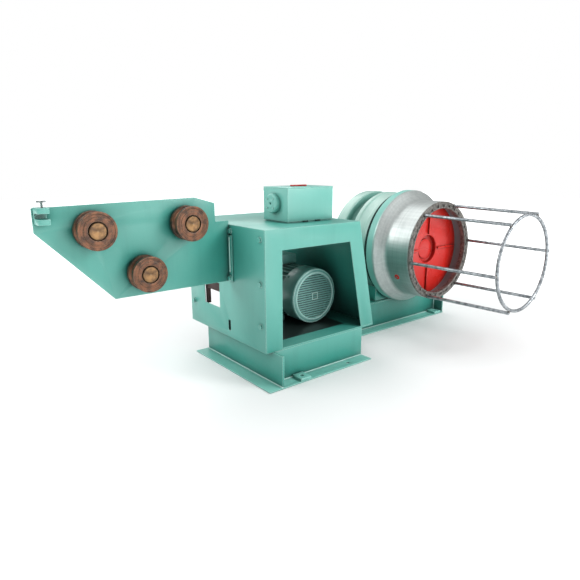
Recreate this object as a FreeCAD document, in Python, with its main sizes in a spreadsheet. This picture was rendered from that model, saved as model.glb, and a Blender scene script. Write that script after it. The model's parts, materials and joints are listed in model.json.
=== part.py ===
import FreeCAD, Part
import math
import os
import re

import Sketcher

# Single-block wire drawing machine, in millimetres.
# X runs with the wire, Y runs to the rear and Z is up. The origin is at floor level, midway
# between the four anchor holes of the pedestal that carries the motor housing.

doc = FreeCAD.newDocument("wire_drawing_machine")
sheet = doc.addObject("Spreadsheet::Sheet", "Sizes")

SIZES = {
    # pedestal under the motor housing
    "anchor_span_x": 420,
    "anchor_span_y": 840,
    "anchor_hole": 26,
    "pedestal_width": 802,
    "pedestal_depth": 936,
    "pedestal_overhang": 103,
    "web_span": 730,
    "frame_height": 214,
    "base_thick": 8,
    "web_thick": 14,
    "deck_thick": 12,
    "plate_setback": 6,
    "pad_length": 84,
    "pad_width": 92,
    "pad_thick": 20,
    # motor housing
    "housing_offset": 52,
    "housing_depth": 970,
    "housing_top": 990,
    "housing_top_width": 804,
    "housing_foot_width": 969,
    "panel_thick": 8,
    "post_width": 130,
    "lintel_height": 133,
    "right_post_top": 91,
    "right_post_foot": 124,
    "window_inset": 550,
    "window_width": 210,
    "window_sill": 169,
    "window_height": 175,
    "slot_inset": 415,
    "slot_width": 30,
    "slot_sill": 36,
    "slot_height": 73,
    # motor
    "motor_inset_x": 625,
    "cowl_lift": 8,
    "cowl_inset": 260,
    "cowl_radius": 203,
    "cowl_length": 150,
    "cowl_wall": 4,
    "cowl_round": 22,
    "grille_radius": 165,
    "grille_slots": 19,
    "grille_pitch": 17,
    "grille_slot": 7,
    "fin_setback": 3,
    "stator_length": 420,
    "shield_thick": 34,
    "shield_hub": 90,
    "fin_height": 24,
    "fin_thick": 6,
    "fin_count": 32,
    "foot_span": 318,
    "foot_width": 84,
    "foot_length": 300,
    "foot_thick": 22,
    "foot_start": 60,
    "motor_shaft": 30,
    "terminal_length": 150,
    "terminal_width": 130,
    "terminal_height": 70,
    "terminal_setback": 150,
    # die box
    "die_inset_x": 325,
    "die_inset_y": 193,
    "die_length": 399,
    "die_width": 270,
    "die_base_thick": 8,
    "die_base_inset": 8,
    "die_height": 224,
    "die_wall": 12,
    "lid_thick": 10,
    "handle_length": 134,
    "handle_width": 22,
    "handle_rise": 10,
    "holder_radius": 64,
    "holder_proud": 38,
    "die_bore": 13,
    "exit_bore": 44,
    # guide arm and its rollers
    "wire_inset": 337,
    "wire_rise": 124,
    "arm_inset": 403,
    "arm_thick": 14,
    "arm_reach": 1150,
    "arm_top_rise": 162,
    "arm_top_slope": 19,
    "arm_tip_height": 128,
    "arm_root_height": 374,
    "arm_foot_run": 765,
    "arm_step_rise": 25,
    "arm_step_run": 97,
    "arm_shoulder_drop": 21,
    "arm_shoulder_run": 136,
    "strip_height": 306,
    "strip_width": 48,
    "strip_thick": 12,
    "roller_radius": 105,
    "roller_width": 92,
    "groove_depth": 15,
    "groove_radius": 26,
    "first_roller_inset": 285,
    "second_roller_pitch": 272,
    "third_roller_pitch": 282,
    "roller_drop": 269,
    "axle_radius": 25,
    "axle_head": 46,
    "axle_head_thick": 14,
    "axle_collar": 35,
    "recess_radius": 53,
    "recess_depth": 12,
    "running_gap": 0.5,
    "guide_setback": 6,
    "guide_width": 60,
    "guide_depth": 88,
    "guide_height": 86,
    "guide_gap": 28,
    "guide_gap_depth": 70,
    "screw_radius": 7,
    "screw_rise": 36,
    "tee_length": 46,
    "tee_radius": 5,
    # bed under the drum
    "bed_margin": 36,
    "bed_depth": 648,
    "bed_web_span": 444,
    "bed_anchor_x": 1248,
    "bed_anchor_y": 560,
    # gearbox
    "drum_run": 908,
    "casing_radius": 455,
    "casing_length": 203,
    "neck_radius": 380,
    "neck_length": 104,
    "flange_length": 113,
    "input_drop": 161,
    "input_radius": 36,
    "saddle_width": 640,
    "saddle_rise": 130,
    "seat_gap": 0.2,
    # drum
    "drum_front": 358,
    "drum_length": 380,
    "drum_gap": 18,
    "drum_radius": 399,
    "rim_rise": 77,
    "rim_width": 72,
    "flare_length": 76,
    "drum_wall": 20,
    "flare_round": 60,
    "ring_thick": 18,
    "ring_face": 54,
    "ring_spigot": 26,
    "disc_inset": 130,
    "disc_thick": 24,
    "hub_radius": 115,
    "hub_wall": 24,
    "hub_front": 168,
    "hub_rear": 210,
    "rib_count": 4,
    "rib_thick": 16,
    "rib_height": 16,
    "rib_end_gap": 12,
    "spindle_radius": 60,
    "spindle_bearing": 90,
    "spindle_cap": 82,
    "spindle_cap_thick": 10,
    "plug_radius": 23,
    "plug_inset": 150,
    "plug_angle": 209,
    "plug_proud": 5,
    # wire collecting cage
    "cage_length": 698,
    "rod_radius": 12,
    "rod_inset": 14,
    "rod_phase": 8,
    "rod_past_ring": 10,
    "hoop_inset": 53,
    "hoop_bar": 12,
    # belt guard
    "guard_radius": 200,
    "guard_width": 130,
}

for row, (alias, size) in enumerate(SIZES.items(), start=1):
    sheet.set("A%d" % row, alias)
    sheet.set("B%d" % row, str(size))
    sheet.setAlias("B%d" % row, alias)
doc.recompute()

# Places that follow from the sizes, as expressions over the sheet's names.
PLACES = {
    "housing_left": "pedestal_width / 2 + housing_offset",
    "housing_front": "web_span / 2",
    "deck_top": "frame_height + deck_thick",
    "housing_lean": "(housing_foot_width - housing_top_width) / (housing_top - deck_top)",
    "motor_x": "motor_inset_x - housing_left",
    "motor_axis_height": "cowl_radius + cowl_lift",
    "motor_z": "deck_top + motor_axis_height",
    "cowl_y": "cowl_inset - housing_front",
    "die_x": "die_inset_x - housing_left",
    "die_y": "die_inset_y - housing_front",
    "wire_y": "wire_inset - housing_front",
    "arm_y": "arm_inset - housing_front",
    "bed_left": "pedestal_width / 2",
    "bed_front": "bed_centre - bed_depth / 2",
    "bed_web_front": "bed_centre - bed_web_span / 2",
    "casing_y": "drum_length + drum_gap - drum_front",
    "guard_y": "housing_depth - housing_front",
    "drum_bore": "drum_radius - drum_wall",
    "shield_radius": "cowl_radius - cowl_wall - seat_gap",
    "stator_radius": "cowl_radius - cowl_wall - fin_height - fin_setback",
    "wire_height": "housing_top + wire_rise",
    "arm_top": "housing_top + arm_top_rise",
    "arm_foot": "housing_top - arm_root_height",
    "roller_run_1": "arm_reach - first_roller_inset",
    "roller_run_2": "roller_run_1 - second_roller_pitch",
    "roller_run_3": "roller_run_2 - third_roller_pitch",
    "guide_inset": "arm_reach - guide_setback",
    "drum_x": "bed_left + drum_run",
    "drum_z": "deck_top + casing_radius",
    "rim_radius": "drum_radius + rim_rise",
    "ring_bore": "drum_radius - ring_face",
    "rod_start_radius": "drum_radius - rod_inset",
    "hoop_radius": "drum_radius - hoop_inset",
    "bed_length": "drum_run + rim_radius + bed_margin",
    "bed_centre": "casing_y + (casing_length + neck_length + flange_length) / 2",
}

WORD = re.compile(r"[a-z][a-z_0-9]*")


def spell(text):
    """Writes a place or a sum of sizes as an expression that the document can work out."""
    def one(match):
        word = match.group(0)
        if word in PLACES:
            return "(" + spell(PLACES[word]) + ")"
        if word in SIZES:
            return "Sizes." + word
        return word
    return WORD.sub(one, text)


def size(alias):
    """The sheet's number for one size."""
    return float(sheet.get(alias))


def bind(thing, **settings):
    """Ties properties to the sheet; a double underscore stands for a dot."""
    for name, text in settings.items():
        thing.setExpression(name.replace("__", "."), spell(text))
    return thing


def put(thing, at):
    """Places a sub-part at a point given by three expressions."""
    for axis, text in zip("xyz", at):
        thing.setExpression("Placement.Base." + axis, spell(text))
    return thing


def named(thing, label):
    """Makes an object a sub-part of the machine under its own name."""
    thing.Label = label
    subparts.append(thing)
    return thing


subparts = []


# ---- ways of making a piece -------------------------------------------------------------

def block(name, length, width, height, at):
    """A rectangular bar or plate with its lowest corner at the point."""
    thing = doc.addObject("Part::Box", name)
    bind(thing, Length=length, Width=width, Height=height)
    return put(thing, at)


def rod(name, radius, length, at, axis=(0, 0, 1), turn=0):
    """A round bar from the point along Z, or turned about an axis."""
    thing = doc.addObject("Part::Cylinder", name)
    bind(thing, Radius=radius, Height=length)
    thing.Placement.Rotation = FreeCAD.Rotation(FreeCAD.Vector(*axis), turn)
    return put(thing, at)


def rod_y(name, radius, length, at):
    """A round bar from the point towards the rear."""
    return rod(name, radius, length, at, axis=(1, 0, 0), turn=-90)


def rod_x(name, radius, length, at):
    """A round bar from the point along the wire."""
    return rod(name, radius, length, at, axis=(0, 1, 0), turn=90)


def joined(name, pieces):
    thing = doc.addObject("Part::MultiFuse", name)
    thing.Shapes = pieces
    thing.Refine = True
    return thing


def less(name, base, tools):
    """The base with one or more tools cut out of it."""
    tool = tools[0] if len(tools) == 1 else joined(name + "_tools", tools)
    thing = doc.addObject("Part::Cut", name)
    thing.Base = base
    thing.Tool = tool
    thing.Refine = True
    return thing


def new_body(name, at):
    body = doc.addObject("PartDesign::Body", name)
    return put(body, at)


def new_sketch(body, name, plane):
    sketch = body.newObject("Sketcher::SketchObject", name)
    face = [f for f in body.Origin.OriginFeatures if f.Role == plane][0]
    sketch.AttachmentSupport = [(face, "")]
    sketch.MapMode = "FlatFace"
    return sketch


def dimension(sketch, kind, geometry, vertex, text):
    """Sets a corner's distance from the sketch's origin along one of its two directions."""
    number = sketch.addConstraint(Sketcher.Constraint(kind, -1, 1, geometry, vertex, 1.0))
    sketch.setExpression("Constraints[%d]" % number, spell(text))


def outline(sketch, corners):
    """Draws a closed polygon whose corners are each set by two dimensions."""
    count = len(corners)
    spots = []
    for step in range(count):
        angle = 2 * math.pi * step / count
        spots.append(FreeCAD.Vector(100 * math.cos(angle), 100 * math.sin(angle), 0))
    first = sketch.GeometryCount
    for step in range(count):
        sketch.addGeometry(Part.LineSegment(spots[step], spots[(step + 1) % count]), False)
    for step in range(count):
        after = first + (step + 1) % count
        sketch.addConstraint(Sketcher.Constraint("Coincident", first + step, 2, after, 1))
    for step, (across, up) in enumerate(corners):
        dimension(sketch, "DistanceX", first + step, 1, across)
        dimension(sketch, "DistanceY", first + step, 1, up)


def ring(sketch, across, up, radius):
    """Draws a circle set by its centre and its radius."""
    number = sketch.addGeometry(Part.Circle(FreeCAD.Vector(1, 1, 0), FreeCAD.Vector(0, 0, 1), 5), False)
    dimension(sketch, "DistanceX", number, 3, across)
    dimension(sketch, "DistanceY", number, 3, up)
    limit = sketch.addConstraint(Sketcher.Constraint("Radius", number, 5.0))
    sketch.setExpression("Constraints[%d]" % limit, spell(radius))


def rectangle(left, low, width, height):
    """The four corners of an upright rectangle."""
    right = "%s + %s" % (left, width)
    high = "%s + %s" % (low, height)
    return [(left, low), (right, low), (right, high), (left, high)]


def pad(body, sketch, name, length, backwards=False):
    feature = body.newObject("PartDesign::Pad", name)
    feature.Profile = sketch
    feature.Reversed = backwards
    bind(feature, Length=length)
    return feature


def pocket(body, sketch, name, length, backwards=False):
    """Cuts a sketch into the body: against the sketch's normal, or along it if backwards."""
    feature = body.newObject("PartDesign::Pocket", name)
    feature.Profile = sketch
    feature.Reversed = backwards
    bind(feature, Length=length)
    return feature


def turned(body, sketch, name, feature="PartDesign::Revolution"):
    """Spins a sketch about its upright axis."""
    thing = body.newObject(feature, name)
    thing.Profile = sketch
    thing.ReferenceAxis = (sketch, ["V_Axis"])
    thing.Angle = 360
    return thing


def round_edges(body, base, name, radius, wanted):
    """Rounds each circular edge of the base that lies at one of the wanted (radius, y) pairs."""
    doc.recompute()
    edges = []
    for number, edge in enumerate(base.Shape.Edges, start=1):
        if not isinstance(edge.Curve, Part.Circle):
            continue
        for edge_radius, along in wanted:
            near = abs(edge.Curve.Radius - edge_radius) < 0.01
            if near and abs(edge.Curve.Center.y - along) < 0.01:
                edges.append("Edge%d" % number)
    feature = body.newObject("PartDesign::Fillet", name)
    feature.Base = (base, edges)
    bind(feature, Radius=radius)
    return feature


# ---- pedestal under the motor housing ---------------------------------------------------

def base_plate(label, left, front, length, depth, holes_x, holes_y, centre_x, centre_y):
    """A floor plate with an anchor hole near each corner."""
    body = new_body(label, ("0", "0", "0"))
    edge = new_sketch(body, label + "_edge", "XY_Plane")
    outline(edge, rectangle(left, front, length, depth))
    pad(body, edge, label + "_pad", "base_thick")
    holes = new_sketch(body, label + "_holes", "XY_Plane")
    for side in ("-", "+"):
        for end in ("-", "+"):
            ring(holes, "%s %s %s / 2" % (centre_x, side, holes_x),
                 "%s %s %s / 2" % (centre_y, end, holes_y), "anchor_hole / 2")
    pocket(body, holes, label + "_bores", "base_thick", backwards=True)
    return named(body, label)


def foot_pads(label, holes_x, holes_y, centre_x, centre_y, bare=()):
    """Thick washers of plate on the base plate, one over each anchor hole that isn't bare."""
    pads = []
    for side in ("-", "+"):
        for end in ("-", "+"):
            if (side, end) in bare:
                continue
            middle_x = "(%s %s %s / 2)" % (centre_x, side, holes_x)
            middle_y = "(%s %s %s / 2)" % (centre_y, end, holes_y)
            number = len(pads) + 1
            plate = block("%s_plate_%d" % (label, number), "pad_length", "pad_width", "pad_thick",
                          (middle_x + " - pad_length / 2", middle_y + " - pad_width / 2", "base_thick"))
            bore = rod("%s_bore_%d" % (label, number), "anchor_hole / 2", "pad_thick",
                       (middle_x, middle_y, "base_thick"))
            pads.append(less("%s_%d" % (label, number), plate, [bore]))
    group = doc.addObject("Part::Compound", label)
    group.Links = pads
    return named(group, label)


UPRIGHT = "frame_height - base_thick"


def web_pair(label, left, length, front, span):
    """The two long upright plates of a frame; the span is over their outer faces."""
    rear = "%s + %s - web_thick" % (front, span)
    webs = []
    for side, place in (("front", front), ("rear", rear)):
        webs.append(block("%s_%s" % (label, side), length, "web_thick", UPRIGHT,
                          (left, place, "base_thick")))
    group = doc.addObject("Part::Compound", label)
    group.Links = webs
    return named(group, label)


base_plate("pedestal_base_plate", "-(pedestal_width / 2 + pedestal_overhang)", "-pedestal_depth / 2",
           "(pedestal_width + pedestal_overhang)", "pedestal_depth",
           "anchor_span_x", "anchor_span_y", "0", "0")

named(block("pedestal_left_plate", "web_thick", "pedestal_depth - 2 * plate_setback", UPRIGHT,
            ("-pedestal_width / 2", "plate_setback - pedestal_depth / 2", "base_thick")), "pedestal_left_plate")
named(block("pedestal_right_plate", "web_thick", "web_span - 2 * web_thick", UPRIGHT,
            ("pedestal_width / 2 - web_thick", "web_thick - web_span / 2", "base_thick")),
      "pedestal_right_plate")
web_pair("pedestal_webs", "-pedestal_width / 2 + web_thick", "pedestal_width - web_thick",
         "-web_span / 2", "web_span")

foot_pads("pedestal_foot_pads", "anchor_span_x", "anchor_span_y", "0", "0", bare=(("+", "-"),))

deck = new_body("pedestal_deck", ("-housing_left", "-housing_front", "frame_height"))
deck_edge = new_sketch(deck, "deck_edge", "XY_Plane")
outline(deck_edge, [("panel_thick", "panel_thick"), ("post_width", "panel_thick"), ("post_width", "0"),
                    ("housing_foot_width", "0"), ("housing_foot_width", "housing_depth"),
                    ("panel_thick", "housing_depth")])
pad(deck, deck_edge, "deck_pad", "deck_thick")
named(deck, "pedestal_deck")


# ---- motor housing ----------------------------------------------------------------------
# It is open at the front and at the rear, and its right side leans out towards the foot.

left_panel = new_body("housing_left_panel", ("-housing_left", "-housing_front", "0"))
panel_edge = new_sketch(left_panel, "panel_edge", "YZ_Plane")
outline(panel_edge, rectangle("panel_thick", "frame_height",
                              "(housing_depth - panel_thick)", "(housing_top - frame_height)"))
pad(left_panel, panel_edge, "panel_pad", "panel_thick")
panel_cuts = new_sketch(left_panel, "panel_cuts", "YZ_Plane")
outline(panel_cuts, rectangle("window_inset", "(deck_top + window_sill)", "window_width", "window_height"))
outline(panel_cuts, rectangle("slot_inset", "(deck_top + slot_sill)", "slot_width", "slot_height"))
pocket(left_panel, panel_cuts, "panel_openings", "panel_thick", backwards=True)
named(left_panel, "housing_left_panel")

front_frame = new_body("housing_front_frame", ("-housing_left", "-housing_front", "0"))
frame_edge = new_sketch(front_frame, "frame_edge", "XZ_Plane")
outline(frame_edge, [("0", "frame_height"), ("post_width", "frame_height"),
                     ("post_width", "housing_top - lintel_height"),
                     ("housing_top_width - right_post_top", "housing_top - lintel_height"),
                     ("housing_foot_width - right_post_foot", "deck_top"),
                     ("housing_foot_width", "deck_top"),
                     ("housing_top_width", "housing_top"), ("0", "housing_top")])
pad(front_frame, frame_edge, "frame_pad", "panel_thick", backwards=True)
named(front_frame, "housing_front_frame")

top_panel = new_body("housing_top_panel", ("-housing_left", "panel_thick - housing_front", "0"))
top_edge = new_sketch(top_panel, "top_edge", "XZ_Plane")
outline(top_edge, [("panel_thick", "housing_top - panel_thick"),
                   ("housing_top_width + (housing_lean - 1) * panel_thick", "housing_top - panel_thick"),
                   ("housing_top_width - panel_thick", "housing_top"),
                   ("panel_thick", "housing_top")])
pad(top_panel, top_edge, "top_pad", "housing_depth - panel_thick", backwards=True)
named(top_panel, "housing_top_panel")

right_panel = new_body("housing_right_panel", ("-housing_left", "panel_thick - housing_front", "0"))
right_edge = new_sketch(right_panel, "right_edge", "XZ_Plane")
outline(right_edge, [("housing_foot_width - panel_thick", "deck_top"), ("housing_foot_width", "deck_top"),
                     ("housing_top_width", "housing_top"), ("housing_top_width - panel_thick", "housing_top")])
pad(right_panel, right_edge, "right_pad", "housing_depth - panel_thick", backwards=True)
named(right_panel, "housing_right_panel")


# ---- motor ------------------------------------------------------------------------------
# Lengths along the motor are measured from the front of its fan cowl.

motor_at = ("motor_x", "cowl_y", "motor_z")

cowl = new_body("motor_fan_cowl", motor_at)
cowl_profile = new_sketch(cowl, "cowl_profile", "XY_Plane")
outline(cowl_profile, [("0", "0"), ("cowl_radius", "0"), ("cowl_radius", "cowl_length"),
                       ("cowl_radius - cowl_wall", "cowl_length"), ("cowl_radius - cowl_wall", "cowl_wall"),
                       ("0", "cowl_wall")])
cowl_turn = turned(cowl, cowl_profile, "cowl_turn")
round_edges(cowl, cowl_turn, "cowl_rounding", "cowl_round", [(size("cowl_radius"), 0)])
grille = new_sketch(cowl, "grille", "XZ_Plane")
slots = int(size("grille_slots"))
for step in range(slots):
    rise = "((%d) * grille_pitch)" % (step - slots // 2)
    half = "sqrt(grille_radius ^ 2 - %s ^ 2)" % rise
    outline(grille, rectangle("-" + half, rise + " - grille_slot / 2", "2 * " + half, "grille_slot"))
pocket(cowl, grille, "grille_cut", "cowl_wall", backwards=False)
named(cowl, "motor_fan_cowl")

motor = new_body("motor_body", motor_at)
stator = new_sketch(motor, "stator_profile", "XY_Plane")
BACK_SHIELD = "cowl_length - shield_thick"
FRONT_SHIELD = "cowl_length + stator_length"
outline(stator, [("0", BACK_SHIELD), ("shield_radius", BACK_SHIELD), ("shield_radius", "cowl_length"),
                 ("stator_radius", "cowl_length"), ("stator_radius", FRONT_SHIELD),
                 ("shield_radius", FRONT_SHIELD), ("shield_radius", FRONT_SHIELD + " + shield_thick"),
                 ("shield_hub", FRONT_SHIELD + " + 2 * shield_thick"),
                 ("motor_shaft", FRONT_SHIELD + " + 2 * shield_thick"),
                 ("motor_shaft", "housing_depth - cowl_inset"), ("0", "housing_depth - cowl_inset")])
turned(motor, stator, "stator_turn")
fin_profile = new_sketch(motor, "fin_profile", "XY_Plane")
outline(fin_profile, rectangle("(stator_radius - 2)", "cowl_length", "(fin_height + 2)", "stator_length"))
fin = pad(motor, fin_profile, "fin_pad", "fin_thick")
fin.SideType = "Symmetric"
fins = motor.newObject("PartDesign::PolarPattern", "fins")
fins.Originals = [fin]
fins.Axis = (fin_profile, ["V_Axis"])
fins.Angle = 360
bind(fins, Occurrences="fin_count")
motor.Tip = fins
named(motor, "motor_body")

FOOT_INNER = "(foot_span / 2 - foot_width / 2)"
FOOT_OUTER = "(foot_span / 2 + foot_width / 2)"
feet = []
for side, word in (("-", "left"), ("+", "right")):
    foot = new_body("foot_%s_stock" % word, motor_at)
    foot_profile = new_sketch(foot, "foot_%s_profile" % word, "XZ_Plane")
    foot_profile.setExpression("AttachmentOffset.Base.z", spell("-(cowl_length + foot_start)"))
    outline(foot_profile, [(side + FOOT_INNER, "-motor_axis_height"), (side + FOOT_OUTER, "-motor_axis_height"),
                           (side + FOOT_OUTER, "foot_thick - motor_axis_height"),
                           (side + "foot_span / 2", "foot_thick - motor_axis_height"),
                           (side + "foot_span / 2", "-motor_axis_height / 2"),
                           (side + FOOT_INNER, "-motor_axis_height / 2")])
    pad(foot, foot_profile, "foot_%s_pad" % word, "foot_length", backwards=True)
    barrel = rod_y("foot_%s_barrel" % word, "stator_radius + fin_height + seat_gap", "stator_length", motor_at)
    barrel.setExpression("Placement.Base.y", spell("cowl_y + cowl_length"))
    feet.append(less("foot_" + word, foot, [barrel]))
feet_pair = doc.addObject("Part::Compound", "motor_feet")
feet_pair.Links = feet
named(feet_pair, "motor_feet")

named(block("motor_terminal_box", "terminal_width", "terminal_length", "terminal_height",
            ("motor_x - terminal_width / 2", "cowl_y + cowl_length + terminal_setback",
             "motor_z + stator_radius + fin_height")), "motor_terminal_box")


# ---- die box ----------------------------------------------------------------------------
# The wire enters through the die holder on its left face and leaves through the right wall.

named(block("die_box_base", "die_length - 2 * die_base_inset", "die_width - 2 * die_base_inset", "die_base_thick",
            ("die_x + die_base_inset", "die_y + die_base_inset", "housing_top")), "die_box_base")

TROUGH = "housing_top + die_base_thick"
shell = block("die_box_outside", "die_length", "die_width", "die_height - lid_thick",
              ("die_x", "die_y", TROUGH))
hollow = block("die_box_inside", "die_length - 2 * die_wall", "die_width - 2 * die_wall", "die_height",
               ("die_x + die_wall", "die_y + die_wall", TROUGH + " + die_wall"))
entry = rod_x("die_box_entry", "exit_bore / 2", "2 * die_wall", ("die_x - die_wall / 2", "wire_y", "wire_height"))
leave = rod_x("die_box_exit", "exit_bore / 2", "2 * die_wall",
              ("die_x + die_length - 1.5 * die_wall", "wire_y", "wire_height"))
named(less("die_box_body", shell, [hollow, entry, leave]), "die_box_body")

named(block("die_box_lid", "die_length", "die_width", "lid_thick",
            ("die_x", "die_y", TROUGH + " + die_height - lid_thick")), "die_box_lid")
named(block("die_box_lid_handle", "handle_length", "handle_width", "handle_rise",
            ("die_x + (die_length - handle_length) / 2", "die_y + (die_width - handle_width) / 2",
             TROUGH + " + die_height")), "die_box_lid_handle")

holder = new_body("die_holder", ("die_x - holder_proud", "wire_y", "wire_height"))
holder_face = new_sketch(holder, "holder_face", "YZ_Plane")
ring(holder_face, "0", "0", "holder_radius")
ring(holder_face, "0", "0", "die_bore / 2")
pad(holder, holder_face, "holder_pad", "holder_proud")
named(holder, "die_holder")


# ---- guide arm --------------------------------------------------------------------------
# A single plate on the housing's left side; the wire runs over, under and over its rollers.

arm = new_body("arm_plate", ("-housing_left", "arm_y", "0"))
arm_edge = new_sketch(arm, "arm_edge", "XZ_Plane")
outline(arm_edge, [("-arm_reach", "arm_top - arm_tip_height"), ("-arm_foot_run", "arm_foot"), ("0", "arm_foot"),
                   ("0", "housing_top + arm_step_rise"), ("-arm_step_run", "housing_top + arm_step_rise"),
                   ("-arm_step_run", "arm_top - arm_shoulder_drop"),
                   ("-(arm_step_run + arm_shoulder_run)", "arm_top + arm_top_slope"), ("-arm_reach", "arm_top")])
pad(arm, arm_edge, "arm_pad", "arm_thick", backwards=True)
bores = new_sketch(arm, "axle_bores", "XZ_Plane")
ROLLERS = (("-roller_run_1", "0"), ("-roller_run_2", "roller_drop"), ("-roller_run_3", "0"))
HIGH_ROLLER = "wire_height - roller_radius + groove_depth"
for run, drop in ROLLERS:
    ring(bores, run, "%s - %s" % (HIGH_ROLLER, drop), "axle_radius")
pocket(arm, bores, "axle_cuts", "arm_thick", backwards=False)
named(arm, "arm_plate")

named(block("arm_mounting_strip", "strip_thick", "strip_width", "strip_height",
            ("-housing_left - strip_thick", "arm_y - strip_width", "arm_foot")), "arm_mounting_strip")

# Along each axle, the front of the roller is the zero and the plate lies behind it.
for number, (run, drop) in enumerate(ROLLERS, start=1):
    centre = (run + " - housing_left", "wire_y - roller_width / 2", "%s - %s" % (HIGH_ROLLER, drop))
    roller = new_body("roller_%d" % number, centre)
    profile = new_sketch(roller, "roller_%d_profile" % number, "XY_Plane")
    outline(profile, [("axle_radius + running_gap", "recess_depth"), ("recess_radius", "recess_depth"),
                      ("recess_radius", "0"), ("roller_radius", "0"), ("roller_radius", "roller_width"),
                      ("axle_radius + running_gap", "roller_width")])
    turned(roller, profile, "roller_%d_turn" % number)
    groove = new_sketch(roller, "roller_%d_groove" % number, "XY_Plane")
    ring(groove, "roller_radius + groove_radius - groove_depth", "roller_width / 2", "groove_radius")
    turned(roller, groove, "roller_%d_cut" % number, feature="PartDesign::Groove")
    named(roller, "roller_%d" % number)

    axle = new_body("roller_axle_%d" % number, centre)
    section = new_sketch(axle, "axle_%d_profile" % number, "XY_Plane")
    plate_front = "arm_inset - wire_inset + roller_width / 2"
    head_back = "recess_depth - 2 * running_gap"
    outline(section, [("0", head_back + " - axle_head_thick"), ("axle_head", head_back + " - axle_head_thick"),
                      ("axle_head", head_back), ("axle_radius", head_back),
                      ("axle_radius", "roller_width + 2 * running_gap"),
                      ("axle_collar", "roller_width + 2 * running_gap"), ("axle_collar", plate_front),
                      ("axle_radius", plate_front), ("axle_radius", plate_front + " + arm_thick"),
                      ("0", plate_front + " + arm_thick")])
    turned(axle, section, "axle_%d_turn" % number)
    named(axle, "roller_axle_%d" % number)

guide = new_body("inlet_guide", ("-housing_left - guide_inset", "arm_y", "wire_height"))
guide_face = new_sketch(guide, "guide_face", "YZ_Plane")
outline(guide_face, [("0", "-guide_height / 2"), ("0", "guide_height / 2"), ("-guide_depth", "guide_height / 2"),
                     ("-guide_depth", "guide_gap / 2"), ("guide_gap_depth - guide_depth", "guide_gap / 2"),
                     ("guide_gap_depth - guide_depth", "-guide_gap / 2"), ("-guide_depth", "-guide_gap / 2"),
                     ("-guide_depth", "-guide_height / 2")])
pad(guide, guide_face, "guide_pad", "guide_width")
screw_way = new_sketch(guide, "screw_way", "XY_Plane")
ring(screw_way, "guide_width / 2", "wire_inset - arm_inset", "screw_radius")
pocket(guide, screw_way, "screw_cut", "guide_height / 2", backwards=True)
named(guide, "inlet_guide")

SCREW = ("guide_width / 2 - guide_inset - housing_left", "wire_y")
stem = rod("screw_stem", "screw_radius", "(guide_height - guide_gap) / 2 + screw_rise",
           SCREW + ("wire_height + guide_gap / 2",))
tee = rod_x("screw_tee", "tee_radius", "tee_length",
            (SCREW[0] + " - tee_length / 2", SCREW[1], "wire_height + guide_height / 2 + screw_rise - tee_radius"))
named(joined("inlet_guide_screw", [stem, tee]), "inlet_guide_screw")


# ---- bed under the drum -----------------------------------------------------------------

base_plate("bed_base_plate", "bed_left", "bed_front", "bed_length", "bed_depth",
           "bed_anchor_x", "bed_anchor_y", "(bed_left + bed_length / 2)", "bed_centre")
web_pair("bed_webs", "bed_left", "bed_length - web_thick", "bed_web_front", "bed_web_span")
named(block("bed_end_plate", "web_thick", "bed_depth - 2 * plate_setback", UPRIGHT,
            ("bed_left + bed_length - web_thick", "bed_front + plate_setback", "base_thick")), "bed_end_plate")
foot_pads("bed_foot_pads", "bed_anchor_x", "bed_anchor_y", "(bed_left + bed_length / 2)", "bed_centre")

BED_TOP_LEFT = "housing_foot_width - housing_left"
named(block("bed_top_plate", "bed_left + bed_length - (%s)" % BED_TOP_LEFT, "bed_web_span", "deck_thick",
            (BED_TOP_LEFT, "bed_web_front", "frame_height")), "bed_top_plate")


# ---- gearbox ----------------------------------------------------------------------------
# A round casing on the drum's axis, with a waist that parts it into a front and a rear.

casing = new_body("gearbox_front_casing", ("drum_x", "casing_y", "drum_z"))
casing_profile = new_sketch(casing, "casing_profile", "XY_Plane")
outline(casing_profile, [("spindle_radius + running_gap", "0"), ("casing_radius", "0"),
                         ("casing_radius", "casing_length"), ("0", "casing_length"),
                         ("0", "spindle_bearing + running_gap"),
                         ("spindle_radius + running_gap", "spindle_bearing + running_gap")])
turned(casing, casing_profile, "casing_turn")
named(casing, "gearbox_front_casing")

rear = new_body("gearbox_rear_turned", ("drum_x", "casing_y + casing_length", "drum_z"))
rear_profile = new_sketch(rear, "rear_profile", "XY_Plane")
outline(rear_profile, [("0", "0"), ("neck_radius", "0"), ("neck_radius", "neck_length"),
                       ("casing_radius", "neck_length"), ("casing_radius", "neck_length + flange_length"),
                       ("0", "neck_length + flange_length")])
turned(rear, rear_profile, "rear_turn")
REAR_FACE = "casing_y + casing_length + neck_length + flange_length"
input_shaft = rod_y("input_shaft", "input_radius", "guard_y - (%s)" % REAR_FACE,
                    ("drum_x", REAR_FACE, "drum_z - input_drop"))
named(joined("gearbox_rear_casing", [rear, input_shaft]), "gearbox_rear_casing")

saddles = []
for name, front, length in (("front_saddle", "casing_y", "casing_length"),
                            ("rear_saddle", "casing_y + casing_length + neck_length", "flange_length")):
    seat = block(name + "_block", "saddle_width", length, "saddle_rise",
                 ("drum_x - saddle_width / 2", front, "deck_top"))
    barrel = rod_y(name + "_barrel", "casing_radius + seat_gap", "2 * " + length,
                   ("drum_x", "%s - %s / 2" % (front, length), "drum_z"))
    saddles.append(less(name, seat, [barrel]))
saddle_pair = doc.addObject("Part::Compound", "gearbox_saddles")
saddle_pair.Links = saddles
named(saddle_pair, "gearbox_saddles")


# ---- drum -------------------------------------------------------------------------------
# Lengths along the drum are measured from the front face of its ring.

drum_at = ("drum_x", "-drum_front", "drum_z")
FLARE_END = "drum_length - rim_width"
FLARE_START = "drum_length - rim_width - flare_length"

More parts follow.
